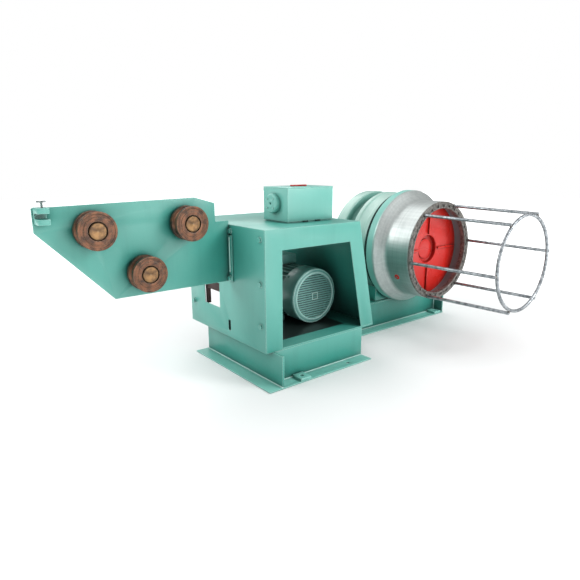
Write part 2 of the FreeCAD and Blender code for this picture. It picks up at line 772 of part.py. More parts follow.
drum = new_body("drum_shell_turned", drum_at)
drum_profile = new_sketch(drum, "drum_profile", "XY_Plane")
outline(drum_profile, [("drum_bore", "ring_thick"), ("drum_radius", "ring_thick"),
                       ("drum_radius", FLARE_START), ("rim_radius", FLARE_END), ("rim_radius", "drum_length"),
                       ("rim_radius - drum_wall", "drum_length"), ("rim_radius - drum_wall", FLARE_END),
                       ("drum_bore", FLARE_START)])
drum_turn = turned(drum, drum_profile, "drum_turn")
flare_start = size("drum_length") - size("rim_width") - size("flare_length")
round_edges(drum, drum_turn, "flare_rounding", "flare_round", [(size("drum_radius"), flare_start)])
plug_spin = FreeCAD.Rotation(FreeCAD.Vector(0, 1, 0), 90 - size("plug_angle"))


def plug_bar(name, radius, start, length):
    """A bar square to the drum's wall, on the line of the round plug."""
    bar = doc.addObject("Part::Cylinder", name)
    bind(bar, Radius=radius, Height=length)
    bar.Placement.Rotation = plug_spin
    return put(bar, ("drum_x + (%s) * cos(plug_angle * 1 deg)" % start, "plug_inset - drum_front",
                     "drum_z + (%s) * sin(plug_angle * 1 deg)" % start))


named(less("drum_shell", drum, [plug_bar("plug_way", "plug_radius + seat_gap", "drum_bore - 20",
                                         "drum_wall + 60")]), "drum_shell")
plug_stock = plug_bar("plug_stock", "plug_radius", "drum_bore - 20", "20 + drum_wall + plug_proud")
plug_core = rod_y("plug_core", "drum_bore", "drum_length", ("drum_x", "-drum_front", "drum_z"))
named(less("drum_plug", plug_stock, [plug_core]), "drum_plug")

front_ring = new_body("drum_front_ring", drum_at)
ring_profile = new_sketch(front_ring, "ring_profile", "XY_Plane")
outline(ring_profile, [("ring_bore", "0"), ("drum_radius", "0"), ("drum_radius", "ring_thick"),
                       ("drum_bore", "ring_thick"), ("drum_bore", "ring_thick + ring_spigot"),
                       ("ring_bore", "ring_thick + ring_spigot")])
turned(front_ring, ring_profile, "ring_turn")
named(front_ring, "drum_front_ring")

web = new_body("drum_web", drum_at)
web_profile = new_sketch(web, "web_profile", "XY_Plane")
outline(web_profile, [("spindle_radius", "hub_front"), ("hub_radius", "hub_front"), ("hub_radius", "disc_inset"),
                      ("drum_bore", "disc_inset"), ("drum_bore", "disc_inset + disc_thick"),
                      ("hub_radius + hub_wall", "disc_inset + disc_thick"), ("hub_radius + hub_wall", "hub_rear"),
                      ("spindle_radius", "hub_rear")])
turned(web, web_profile, "web_turn")
rib_profile = new_sketch(web, "rib_profile", "XY_Plane")
outline(rib_profile, rectangle("(hub_radius + rib_end_gap)", "(disc_inset - rib_height)",
                               "(drum_bore - hub_radius - 2 * rib_end_gap)", "(rib_height + 2)"))
rib = pad(web, rib_profile, "rib_pad", "rib_thick")
rib.SideType = "Symmetric"
ribs = web.newObject("PartDesign::PolarPattern", "ribs")
ribs.Originals = [rib]
ribs.Axis = (rib_profile, ["V_Axis"])
ribs.Angle = 360
bind(ribs, Occurrences="rib_count")
web.Tip = ribs
named(web, "drum_web")

spindle = new_body("drum_spindle", drum_at)
spindle_profile = new_sketch(spindle, "spindle_profile", "XY_Plane")
outline(spindle_profile, [("0", "hub_front - spindle_cap_thick"), ("spindle_cap", "hub_front - spindle_cap_thick"),
                          ("spindle_cap", "hub_front"), ("spindle_radius", "hub_front"),
                          ("spindle_radius", "drum_length + drum_gap + spindle_bearing"),
                          ("0", "drum_length + drum_gap + spindle_bearing")])
turned(spindle, spindle_profile, "spindle_turn")
named(spindle, "drum_spindle")


# ---- wire collecting cage ---------------------------------------------------------------
# Six rods lean in a little from the drum's ring and are welded to the outside of a hoop.

hoop = doc.addObject("Part::Torus", "cage_hoop")
bind(hoop, Radius1="hoop_radius", Radius2="hoop_bar")
hoop.Placement.Rotation = FreeCAD.Rotation(FreeCAD.Vector(1, 0, 0), 90)
put(hoop, ("drum_x", "-drum_front - cage_length", "drum_z"))
named(hoop, "cage_hoop")

# The rods lean by what the hoop and its bar leave between their two ends.
lean_in = size("hoop_inset") - size("hoop_bar") - size("rod_radius") - size("seat_gap") - size("rod_inset")
slope = lean_in / size("cage_length")
# Each rod is drawn from a little inside the drum, so that its end can be cut flush with the ring.
ROOT = 20
root_radius = "(rod_start_radius + %d * (rod_start_radius - %s) / cage_length)" % (
    ROOT, "(hoop_radius + hoop_bar + rod_radius + seat_gap)")
cage_rods = []
for number in range(6):
    angle = math.radians(size("rod_phase") + 60 * number)
    outward = FreeCAD.Vector(math.cos(angle), 0, math.sin(angle))
    along = FreeCAD.Vector(0, -1, 0) - outward * slope
    bar = doc.addObject("Part::Cylinder", "rod_stock_%d" % (number + 1))
    bind(bar, Radius="rod_radius", Height="cage_length + rod_past_ring + %d" % ROOT)
    bar.Placement.Rotation = FreeCAD.Rotation(FreeCAD.Vector(0, 0, 1), along)
    turn = "(rod_phase + %d) * 1 deg" % (60 * number)
    put(bar, ("drum_x + %s * cos(%s)" % (root_radius, turn), "%d - drum_front" % ROOT,
              "drum_z + %s * sin(%s)" % (root_radius, turn)))
    inside = rod_y("rod_trim_%d" % (number + 1), "drum_radius + 40", "2 * %d" % ROOT,
                   ("drum_x", "-drum_front", "drum_z"))
    cage_rods.append(less("cage_rod_%d" % (number + 1), bar, [inside]))
rods = doc.addObject("Part::Compound", "cage_rods")
rods.Links = cage_rods
named(rods, "cage_rods")


# ---- belt guard -------------------------------------------------------------------------
# A closed cover behind the housing, round about the motor's shaft and the gearbox's input.

def belt_guard():
    radius = size("guard_radius")
    half_pedestal = size("pedestal_width") / 2
    deck_top = size("frame_height") + size("deck_thick")
    motor_x = size("motor_inset_x") - half_pedestal - size("housing_offset")
    start = FreeCAD.Vector(motor_x, 0, deck_top + size("cowl_radius") + size("cowl_lift"))
    end = FreeCAD.Vector(half_pedestal + size("drum_run"), 0,
                         deck_top + size("casing_radius") - size("input_drop"))
    run = (end - start).normalize()
    side = FreeCAD.Vector(-run.z, 0, run.x)
    edges = [
        Part.LineSegment(start + side * radius, end + side * radius).toShape(),
        Part.Arc(end + side * radius, end + run * radius, end - side * radius).toShape(),
        Part.LineSegment(end - side * radius, start - side * radius).toShape(),
        Part.Arc(start - side * radius, start - run * radius, start + side * radius).toShape(),
    ]
    face = Part.Face(Part.Wire(edges))
    return face.extrude(FreeCAD.Vector(0, size("guard_width"), 0))


guard = doc.addObject("Part::Feature", "belt_guard")
guard.Shape = belt_guard()
guard.Placement.Base = FreeCAD.Vector(0, size("housing_depth") - size("web_span") / 2, 0)
named(guard, "belt_guard")


# ---- checks and files -------------------------------------------------------------------

doc.recompute()
faults = []
for thing in doc.Objects:
    if "Invalid" in thing.State or "Error" in thing.State:
        faults.append("%s is %s" % (thing.Name, thing.State))
for piece in subparts:
    if piece.Shape.isNull() or not piece.Shape.isValid() or not piece.Shape.Solids:
        faults.append("%s has no valid solid" % piece.Label)
if faults:
    raise RuntimeError("; ".join(faults))

os.makedirs("parts", exist_ok=True)
for piece in subparts:
    piece.Shape.exportStep("parts/%s.step" % piece.Label)
print("%d sub-parts written" % len(subparts))
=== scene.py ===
import json
import math

import bmesh
import bpy
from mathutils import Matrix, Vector

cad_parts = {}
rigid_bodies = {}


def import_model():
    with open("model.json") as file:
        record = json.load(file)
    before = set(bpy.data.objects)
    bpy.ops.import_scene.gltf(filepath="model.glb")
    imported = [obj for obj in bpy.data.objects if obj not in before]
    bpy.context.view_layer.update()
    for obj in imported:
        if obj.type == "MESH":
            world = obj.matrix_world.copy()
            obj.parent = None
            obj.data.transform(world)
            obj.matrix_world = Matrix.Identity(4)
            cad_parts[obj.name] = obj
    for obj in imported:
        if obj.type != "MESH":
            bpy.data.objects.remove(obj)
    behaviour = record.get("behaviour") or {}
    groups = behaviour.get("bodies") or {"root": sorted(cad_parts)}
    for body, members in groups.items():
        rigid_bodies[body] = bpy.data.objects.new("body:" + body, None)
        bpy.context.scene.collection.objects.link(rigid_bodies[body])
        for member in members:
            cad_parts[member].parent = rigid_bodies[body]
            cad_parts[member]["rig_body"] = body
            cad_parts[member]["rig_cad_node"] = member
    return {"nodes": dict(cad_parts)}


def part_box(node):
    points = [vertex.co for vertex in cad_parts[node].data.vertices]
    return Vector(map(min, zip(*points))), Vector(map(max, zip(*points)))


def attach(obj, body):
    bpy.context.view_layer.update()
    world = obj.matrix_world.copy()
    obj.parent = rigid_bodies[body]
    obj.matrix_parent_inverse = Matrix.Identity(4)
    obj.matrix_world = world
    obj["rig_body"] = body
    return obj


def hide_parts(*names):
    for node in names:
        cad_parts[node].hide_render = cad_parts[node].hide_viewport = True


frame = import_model()
bpy.ops.object.select_all(action="DESELECT")
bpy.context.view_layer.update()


# ---- camera -----------------------------------------------------------------------------
# An eye 1.36 m above the floor, in front of the machine and to its left, with a slightly
# wide lens, so that the arm comes forward on the left and the cage on the right.

bpy.ops.object.camera_add(location=(-2.179, -2.785, 1.364),
                          rotation=(math.radians(76.3), 0, math.radians(-38.99)))
camera = bpy.context.object
camera.name = "viewer"
camera.data.sensor_width = 36
camera.data.lens = 31.36
camera.data.shift_x = -0.0095
camera.data.shift_y = -0.0033
bpy.context.scene.camera = camera


# ---- pedestal under the motor housing ---------------------------------------------------
# Mild steel plate, flame cut and welded into a box frame on a wide floor flange, then
# sprayed with machine enamel. Thick pads carry the anchor bolts.

def linear(colour):
    """The linear values of an sRGB hex colour."""
    parts = [int(colour[place:place + 2], 16) / 255 for place in (1, 3, 5)]
    return tuple(p / 12.92 if p <= 0.04045 else ((p + 0.055) / 1.055) ** 2.4 for p in parts) + (1.0,)


def add(material, kind, settings, inputs):
    """Adds a node to a material: its own settings, and its inputs as values or as links."""
    tree = material.node_tree
    made = tree.nodes.new("ShaderNode" + kind)
    for name, value in settings.items():
        setattr(made, name, value)
    for socket, value in inputs.items():
        if isinstance(value, bpy.types.NodeSocket):
            tree.links.new(value, made.inputs[socket])
        else:
            made.inputs[socket].default_value = value
    return made


def blank(name):
    """An empty node material."""
    material = bpy.data.materials.new(name)
    material.use_nodes = True
    material.node_tree.nodes.clear()
    return material


def placed(material, centre, scale=(1, 1, 1)):
    """Object coordinates, centred on a piece and stretched for a pattern."""
    where = add(material, "TexCoord", {}, {})
    moved = add(material, "Mapping", {}, {"Vector": where.outputs["Object"],
                                          "Location": tuple(-c * s for c, s in zip(centre, scale)),
                                          "Scale": scale})
    return moved.outputs["Vector"]


def in_corners(material, reach, first, last, most, samples=6):
    """How much a place darkens, by how closed in it is over a reach in metres."""
    closed = add(material, "AmbientOcclusion", {"samples": samples}, {"Distance": reach})
    return add(material, "MapRange", {}, {"Value": closed.outputs["AO"], "From Min": first, "From Max": last,
                                          "To Min": 0.0, "To Max": most}).outputs["Result"]


def on_edges(material, width, first, last, most):
    """How much pale painted highlight and rubbed paint an edge takes, over a width in metres."""
    soft = add(material, "Bevel", {"samples": 4}, {"Radius": width})
    face = add(material, "NewGeometry", {}, {})
    turn = add(material, "VectorMath", {"operation": "DOT_PRODUCT"},
               {0: soft.outputs["Normal"], 1: face.outputs["True Normal"]})
    return add(material, "MapRange", {}, {"Value": turn.outputs["Value"], "From Min": first, "From Max": last,
                                          "To Min": 0.0, "To Max": most}).outputs["Result"]


def enamel(name, fresh, faded, grime_and_shade, edge, gloss=0.34, centre=(0, 0, 0.5), streak=0.35, shade_colours=None,
           glare=0.6):
    """Sprayed machine enamel: soft patches, faint runs, orange peel, grime with painted shade in corners,
    edges painted pale as highlight and worn paint.

    Two deeper colours may be given as painted shade: the first where a place is half closed in, the second
    deep inside, where less light reaches.
    """
    material = blank(name)
    spot = placed(material, centre)
    patch = add(material, "TexNoise", {}, {"Vector": spot, "Scale": 1 / 0.40, "Detail": 3.0})
    tone = add(material, "MixRGB", {}, {"Fac": patch.outputs["Fac"], "Color1": linear(fresh),
                                        "Color2": linear(faded)})
    shown = tone.outputs["Color"]
    if shade_colours:
        # Painted shade: the coat turns to the deeper colours where a place is closed in and less light
        # reaches.
        for colour, first, last, most in ((shade_colours[0], 0.98, 0.55, 0.9), (shade_colours[1], 0.50, 0.20, 0.95)):
            shade_amount = in_corners(material, 0.55, first, last, most, samples=8)
            shown = add(material, "MixRGB", {}, {"Fac": shade_amount, "Color1": shown,
                                                 "Color2": linear(colour)}).outputs["Color"]
    # Runs and wiped dirt, about 60 mm apart and ten times as long, that hang down the sides.
    run = add(material, "TexNoise", {}, {"Vector": placed(material, centre, (16, 16, 1.6)),
                                         "Scale": 1.0, "Detail": 4.0})
    runs = add(material, "MapRange", {}, {"Value": run.outputs["Fac"], "From Min": 0.50, "From Max": 0.80,
                                          "To Min": 0.0, "To Max": streak})
    hung = add(material, "MixRGB", {}, {"Fac": runs.outputs["Result"], "Color1": shown,
                                        "Color2": linear(grime_and_shade)})
    # Grime and painted shade: the coat darkens towards the grime colour in corners and joints closed in over
    # about 55 mm.
    darker_in_corners = add(material, "MixRGB", {}, {"Fac": in_corners(material, 0.055, 0.80, 0.25, 0.85),
                                         "Color1": hung.outputs["Color"], "Color2": linear(grime_and_shade)})
    # Edges show as a pale line about 5 mm wide: painted highlight for the light a rounded edge catches, and
    # paint thinned and polished there.
    rubbed_and_highlit = add(material, "MixRGB", {}, {"Fac": on_edges(material, 0.005, 0.985, 0.84, 0.7),
                                          "Color1": darker_in_corners.outputs["Color"], "Color2": linear(edge)})
    peel = add(material, "TexNoise", {}, {"Vector": spot, "Scale": 1 / 0.004, "Detail": 1.0})
    bump = add(material, "Bump", {}, {"Height": peel.outputs["Fac"], "Strength": 0.10, "Distance": 0.0006})
    shine = add(material, "MapRange", {}, {"Value": patch.outputs["Fac"], "From Min": 0.3, "From Max": 0.7,
                                           "To Min": gloss - 0.05, "To Max": gloss + 0.08})
    skin = add(material, "BsdfPrincipled", {}, {"Base Color": rubbed_and_highlit.outputs["Color"],
                                                "Roughness": shine.outputs["Result"],
                                                "Normal": bump.outputs["Normal"], "IOR": 1.5,
                                                "Specular IOR Level": glare})
    add(material, "OutputMaterial", {}, {"Surface": skin.outputs["BSDF"]})
    return material


# Green two-pack enamel, sprayed: an even satin green-blue that reads paler where light grazes it, with
# painted shade in two deeper greens where less light reaches.
green_enamel = enamel("sprayed_green_enamel", "#60AEA1", "#55A195", "#1B564E", "#B4DCD3", streak=0.12,
                      shade_colours=("#2E8E81", "#264F4A"))


def settle(piece, name, body, slot_name, finish, *stands_for):
    """Names a piece, gives it its finish, and tells the frame what it rides on."""
    piece.name = name
    piece.data.name = name
    piece.data.materials.clear()
    piece.data.materials.append(finish)
    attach(piece, body)
    if stands_for:
        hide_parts(*stands_for)
    bpy.ops.object.select_all(action="DESELECT")
    return piece


def set_down():
    """Works a new piece's place, turn and size into its mesh."""
    bpy.ops.object.transform_apply(location=True, rotation=True, scale=True)


def only(piece):
    """Makes a piece the one selected and active object."""
    bpy.ops.object.select_all(action="DESELECT")
    piece.select_set(True)
    bpy.context.view_layer.objects.active = piece


def break_edges(piece, width, steps=2, limit=35):
    """Breaks the sharp edges of a piece and smooths the rest."""
    only(piece)
    bpy.ops.object.modifier_add(type="BEVEL")
    bevel = piece.modifiers[-1]
    bevel.width = width
    bevel.segments = steps
    bevel.limit_method = "ANGLE"
    bevel.angle_limit = math.radians(limit)
    bevel.use_clamp_overlap = False
    bpy.ops.object.modifier_apply(modifier=bevel.name)
    bpy.ops.object.shade_smooth_by_angle(angle=math.radians(30))


def bar(place, size, rounding, steps=2):
    """A flat bar of a size about its middle, with broken edges."""
    bpy.ops.mesh.primitive_cube_add(size=1, location=place, scale=size)
    made = bpy.context.object
    set_down()
    break_edges(made, rounding, steps)
    return made


def copied(node):
    """A copy of a CAD node whose loose triangles are joined into whole faces."""
    only(frame["nodes"][node])
    bpy.ops.object.duplicate()
    piece = bpy.context.object
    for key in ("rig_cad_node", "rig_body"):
        if key in piece:
            del piece[key]
    bpy.ops.object.mode_set(mode="EDIT")
    bpy.ops.mesh.select_all(action="SELECT")
    bpy.ops.mesh.remove_doubles(threshold=1e-5)
    bpy.ops.mesh.dissolve_limited(angle_limit=math.radians(0.5))
    bpy.ops.object.mode_set(mode="OBJECT")
    return piece


def dressed(node, width, body, slot_name, finish):
    """Stands a copy with broken edges in place of a CAD node."""
    piece = copied(node)
    break_edges(piece, width)
    return settle(piece, node + "_finished", body, slot_name, finish, node)


for node in ("pedestal_left_plate", "pedestal_right_plate", "pedestal_webs", "pedestal_deck"):
    dressed(node, 0.0015, "machine", "green_enamel", green_enamel)
# What lies flat on the floor is painted in a paler green: painted light, for the upward faces that catch more
# light than the sides.
flange_enamel = enamel("lit_flat_green_enamel", "#82C6BA", "#70B8AC", "#2A6A61", "#C4E4DC", streak=0.12)
for node in ("pedestal_base_plate", "pedestal_foot_pads"):
    dressed(node, 0.0015, "machine", "green_enamel", flange_enamel)

# Weld run under fresh paint: small overlapping ripples, coloured nearly white as a painted highlight for the
# light their tops catch.
bead_enamel = enamel("highlit_weld_run", "#BFE2DA", "#9CCFC5", "#5E9F95", "#E4F5F1", gloss=0.25, streak=0.1)
BEAD = 0.005
RIPPLE = 0.007


def weld(start, end, up):
    """One fillet run from start to end: a ripple a little wider than long, repeated along the line."""
    start, end, up = Vector(start), Vector(end), Vector(up).normalized()
    bpy.ops.mesh.primitive_uv_sphere_add(segments=8, ring_count=6, radius=BEAD, location=(0, 0, 0))
    ripple = bpy.context.object
    bpy.ops.object.mode_set(mode="EDIT")
    bpy.ops.mesh.select_all(action="SELECT")
    bpy.ops.transform.resize(value=(1.0, 1.25, 1.0))
    bpy.ops.object.mode_set(mode="OBJECT")
    along = end - start
    bpy.ops.object.modifier_add(type="ARRAY")
    rows = ripple.modifiers[-1]
    rows.use_relative_offset = False
    rows.use_constant_offset = True
    rows.constant_offset_displace = (RIPPLE, 0, 0)
    rows.count = max(2, int(along.length / RIPPLE))
    bpy.ops.object.modifier_apply(modifier=rows.name)
    bpy.ops.object.shade_smooth()
    ripple.rotation_mode = "QUATERNION"
    ripple.rotation_quaternion = along.to_track_quat("X", "Z")
    ripple.location = start + up * BEAD * 0.2
    set_down()
    return ripple


def joined(pieces):
    """Joins finished shapes into one piece."""
    bpy.ops.object.select_all(action="DESELECT")
    for piece in pieces:
        piece.select_set(True)
    bpy.context.view_layer.objects.active = pieces[0]
    bpy.ops.object.join()
    return bpy.context.object


web_low, web_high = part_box("pedestal_webs")
left_low, left_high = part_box("pedestal_left_plate")
FLOOR_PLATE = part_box("pedestal_base_plate")[1].z
pedestal_welds = joined([
    weld((left_low.x, left_low.y, FLOOR_PLATE), (left_low.x, left_high.y, FLOOR_PLATE), (-1, 0, 1)),
    weld((left_high.x, web_low.y, FLOOR_PLATE), (web_high.x, web_low.y, FLOOR_PLATE), (0, -1, 1)),
    weld((left_high.x, web_high.y, FLOOR_PLATE), (web_high.x, web_high.y, FLOOR_PLATE), (0, 1, 1)),
    weld((left_high.x, web_low.y, FLOOR_PLATE), (left_high.x, web_low.y, web_high.z), (1, -1, 0)),
    weld((left_high.x, web_high.y, FLOOR_PLATE), (left_high.x, web_high.y, web_high.z), (1, 1, 0)),
])
settle(pedestal_welds, "pedestal_welds", "machine", "green_enamel", bead_enamel)


# ---- motor housing ----------------------------------------------------------------------
# Folded and welded 8 mm sheet steel, open at the front and the rear, with hexagon bolts
# that hold it to the frame inside. Bolts and sheet were painted together.

for node in ("housing_left_panel", "housing_front_frame", "housing_top_panel", "housing_right_panel"):
    dressed(node, 0.0020, "machine", "green_enamel", green_enamel)


def turned(outline, at, facing, steps=96, ends_meet=True):
    """Spins an outline of (radius, along) points about a line through at that points along facing."""
    bpy.ops.mesh.primitive_plane_add(size=0.001, location=(0, 0, 0))
    piece = bpy.context.object
    bpy.ops.object.mode_set(mode="EDIT")
    bpy.ops.mesh.select_mode(type="VERT")
    bpy.ops.mesh.select_all(action="SELECT")
    bpy.ops.mesh.merge(type="CENTER")
    radius, along = outline[0]
    bpy.ops.transform.translate(value=(radius, 0, along))
    corners = outline + outline[:1] if ends_meet else outline
    for (r0, a0), (r1, a1) in zip(corners, corners[1:]):
        bpy.ops.mesh.extrude_region_move(TRANSFORM_OT_translate={"value": (r1 - r0, 0, a1 - a0)})
    bpy.ops.mesh.select_all(action="SELECT")
    bpy.ops.mesh.remove_doubles(threshold=1e-6)
    bpy.ops.mesh.select_all(action="SELECT")
    bpy.ops.mesh.spin(steps=steps, angle=2 * math.pi, center=(0, 0, 0), axis=(0, 0, 1))
    bpy.ops.mesh.select_all(action="SELECT")
    bpy.ops.mesh.remove_doubles(threshold=1e-6)
    bpy.ops.mesh.normals_make_consistent(inside=False)
    bpy.ops.object.mode_set(mode="OBJECT")
    piece.rotation_mode = "QUATERNION"
    piece.rotation_quaternion = Vector(facing).to_track_quat("Z", "Y")
    piece.location = at
    only(piece)
    set_down()
    return piece


def hexagon_bolt(radius, height, washer=True):
    """A hexagon head with a chamfered top, on a thin washer that stands on the surface."""
    bpy.ops.mesh.primitive_cylinder_add(vertices=6, radius=radius, depth=height,
                                        location=(0, 0, height / 2 + 0.0015))
    head = bpy.context.object
    set_down()
    break_edges(head, radius * 0.10, steps=1)
    if not washer:
        return head
    ring = turned([(0, 0), (radius * 1.18, 0), (radius * 1.18, 0.0018), (radius * 1.08, 0.0026), (0, 0.0026)],
                  (0, 0, 0), (0, 0, 1), steps=24, ends_meet=False)
    only(ring)
    bpy.ops.object.shade_smooth_by_angle(angle=math.radians(30))
    return joined([head, ring])


def spread(pattern, spots):
    """Copies one shape to each (place, outward direction, turn) and joins the copies."""
    made = []
    for place, outward, turn in spots:
        only(pattern)
        bpy.ops.object.duplicate()
        one = bpy.context.object
        one.rotation_mode = "QUATERNION"
        spin = Vector((math.cos(turn), math.sin(turn), 0)).to_track_quat("X", "Z")
        one.rotation_quaternion = Vector(outward).to_track_quat("Z", "Y") @ spin
        one.location = place
        set_down()
        made.append(one)
    only(pattern)
    bpy.ops.object.delete()
    return joined(made)


strip_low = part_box("arm_mounting_strip")[0]
LEFT, RIGHT, BACK = (-1, 0, 0), (1, 0, 0), (0, 1, 0)
left_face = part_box("housing_left_panel")[0].x
right_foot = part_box("housing_front_frame")[1].x
deck_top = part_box("pedestal_deck")[1].z
left_bolts = [((left_face, y, z), LEFT, 0.3 * k) for k, (y, z) in enumerate(
    ((-0.315, 0.928), (-0.315, 0.653), (-0.315, 0.382), (0.551, 0.375), (0.551, 0.653), (0.551, 0.928),
     (0.015, 0.949)))]
strip_bolts = [((strip_low.x, 0.014, 0.640), LEFT, 0.4)]
lean = Vector((0.764, 0, 0.165)).normalized()


def on_right_panel(y, z):
    """A point of the right panel, which leans in by 0.216 for each unit of height."""
    return (right_foot - (z - deck_top) * 0.216, y, z)


right_bolts = [(on_right_panel(y, z), lean, 0.5 * k) for k, (y, z) in enumerate(
    ((-0.315, 0.928), (-0.315, 0.653), (-0.315, 0.382), (0.551, 0.928), (0.551, 0.653), (0.551, 0.382)))]
housing_bolts = spread(hexagon_bolt(0.0165, 0.013), left_bolts + strip_bolts + right_bolts)
settle(housing_bolts, "housing_bolts", "machine", "green_enamel", green_enamel)


# Behind the side window and the cable slot, stiffeners in dark red primer, which also stand as painted shade
# for the dark seen through them.
dark_primer_and_shade = enamel("dull_red_primer_and_shade", "#3E211E", "#2C1B1A", "#160E0D", "#5A3A34", gloss=0.6,
                    centre=(-0.42, 0.29, 0.54), streak=0.3)
stiffener_bars = (
    ((-0.419, 0.290, 0.548), (0.028, 0.220, 0.096)),
    ((-0.4385, 0.290, 0.587), (0.013, 0.220, 0.018)),
    ((-0.419, 0.400, 0.490), (0.028, 0.024, 0.212)),
    ((-0.419, 0.065, 0.298), (0.028, 0.100, 0.130)),
    ((-0.4385, 0.065, 0.350), (0.013, 0.100, 0.018)),
)
stiffener = [bar(place, size, 0.001) for place, size in stiffener_bars]
settle(joined(stiffener), "window_stiffener", "machine", "red_enamel", dark_primer_and_shade)


# ---- motor inside the housing -----------------------------------------------------------
# A foot-mounted induction motor: cast iron frame with cooling fins, and a pressed steel fan
# cowl whose flat front is slotted. It is dull grey-green and dusty with oil.

motor_enamel = enamel("dusty_motor_enamel", "#6AA59D", "#528A83", "#1E3F3C", "#B4DAD3", gloss=0.32,
                      centre=(0.16, 0.1, 0.44))
dressed("motor_fan_cowl", 0.0008, "machine", "motor_enamel", motor_enamel)
for node in ("motor_body", "motor_feet", "motor_terminal_box"):
    dressed(node, 0.0015, "machine", "motor_enamel", motor_enamel)

# A thin dark sheet lies under it: painted shade for the dark inside of the housing behind its lit front edge.
shade_sheet_paint = enamel("black_painted_shade", "#26312F", "#1A2322", "#0D1413", "#3A4745", gloss=0.30,
                    centre=(-0.05, 0.15, 0.226), streak=0.2)
shade_sheet = bar((-0.044, 0.150, deck_top + 0.0012), (0.770, 0.780, 0.0016), 0.0004, steps=1)
settle(shade_sheet, "motor_shade_sheet", "machine", "dark_steel", shade_sheet_paint)

cowl_low, cowl_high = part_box("motor_fan_cowl")
motor_x = (cowl_low.x + cowl_high.x) / 2
motor_z = (cowl_low.z + cowl_high.z) / 2
COWL = (cowl_high.x - cowl_low.x) / 2


def speckled(name, centre, grain, dark, pale, rough):
    """A dull stuff of two close tones, in specks of one size."""
    material = blank(name)
    fleck = add(material, "TexNoise", {}, {"Vector": placed(material, centre), "Scale": 1 / grain,
                                           "Detail": 2.0})
    tone = add(material, "MixRGB", {}, {"Fac": fleck.outputs["Fac"], "Color1": linear(dark),
                                        "Color2": linear(pale)})
    skin = add(material, "BsdfPrincipled", {}, {"Base Color": tone.outputs["Color"], "Roughness": rough})
    add(material, "OutputMaterial", {}, {"Surface": skin.outputs["BSDF"]})
    return material


# The fan behind the slots, a dark moulded disc, so that the slots are not empty.
fan_plastic = speckled("moulded_fan_plastic", (motor_x, cowl_low.y, motor_z), 0.03, "#1C2B2A", "#32413F", 0.6)
fan = turned([(0, 0), (0.045, 0), (0.050, 0.012), (0.178, 0.020), (0.186, 0.030), (0.186, 0.040), (0, 0.040)],
             (motor_x, cowl_low.y + 0.030, motor_z), (0, 1, 0), steps=64, ends_meet=False)
break_edges(fan, 0.001)
settle(fan, "motor_fan", "machine", "motor_enamel", fan_plastic)

# A raised rolled rim round the slots, painted pale as a highlight for the light on its roll and as rubbed
# paint, and a small plain square in the middle.
rim_enamel = enamel("pale_highlit_cowl_rim", "#A9D2CB", "#86B5AE", "#4C7E78", "#E1F3EF", gloss=0.28,
                    centre=(motor_x, cowl_low.y, motor_z), streak=0.1)
rim = turned([(0.166, -0.001), (0.169, -0.004), (0.175, -0.004), (0.179, -0.001), (0.179, 0.002),
              (0.166, 0.002)],
             (motor_x, cowl_low.y, motor_z), (0, 1, 0), steps=96)
break_edges(rim, 0.0008)
bpy.ops.mesh.primitive_plane_add(size=0.052, location=(motor_x, cowl_low.y - 0.002, motor_z),
                                 rotation=(math.radians(90), 0, 0))
square = bpy.context.object
set_down()
bpy.ops.object.mode_set(mode="EDIT")
bpy.ops.mesh.select_all(action="SELECT")
bpy.ops.mesh.inset(thickness=0.005)
bpy.ops.mesh.delete(type="FACE")
bpy.ops.mesh.select_all(action="SELECT")
bpy.ops.mesh.extrude_region_move(TRANSFORM_OT_translate={"value": (0, 0.003, 0)})
bpy.ops.mesh.select_all(action="SELECT")
bpy.ops.mesh.normals_make_consistent(inside=False)
bpy.ops.object.mode_set(mode="OBJECT")
settle(joined([rim, square]), "motor_cowl_rim", "machine", "motor_enamel", rim_enamel)

cowl_screws = []
for step in range(4):
    angle = math.radians(45 + 90 * step)
    out = Vector((math.cos(angle), 0, math.sin(angle)))
    cowl_screws.append((Vector((motor_x, cowl_high.y - 0.018, motor_z)) + out * COWL, out, 0))
for step in range(8):
    angle = math.radians(22.5 + 45 * step)
    out = Vector((math.cos(angle), 0, math.sin(angle)))
    cowl_screws.append((Vector((motor_x, 0.465 + 0.034, motor_z)) + out * 0.175, BACK, 0.2 * step))
feet_low, feet_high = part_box("motor_feet")
for x in (motor_x - 0.182, motor_x + 0.182):
    for y in (feet_low.y + 0.045, feet_high.y - 0.045):
        cowl_screws.append(((x, y, feet_low.z + 0.022), (0, 0, 1), 0.3))
settle(spread(hexagon_bolt(0.009, 0.007), cowl_screws), "motor_bolts", "machine", "motor_enamel",
       motor_enamel)


# ---- die box on the housing's top -------------------------------------------------------
# A welded sheet box for drawing soap, on a flat spacer plate, with a loose lid that has a
# red flat bar to lift it by. The die sits behind a round holder on its left side.

# The die box and its holder get a paler green without the painted shade: painted light, for their faces lit
# from the left.
box_enamel = enamel("lit_box_green_enamel", "#79BFB4", "#6AB1A5", "#2A6A61", "#C4E4DC",
                    centre=(0.07, -0.03, 1.1), streak=0.08)
for node, width in (("die_box_base", 0.0010), ("die_box_body", 0.0020), ("die_box_lid", 0.0020)):
    dressed(node, width, "machine", "green_enamel", box_enamel)
# Gloss red enamel, with painted shade in two deeper reds where less light reaches.
red_enamel = enamel("gloss_red_enamel", "#D0241C", "#BE1D17", "#7C1511", "#E0503F", gloss=0.26,
                    centre=(1.309, -0.2, 0.681), streak=0.10, shade_colours=("#C21F19", "#7C1612"),
                    glare=0.35)
dressed("die_box_lid_handle", 0.0030, "machine", "red_enamel", red_enamel)

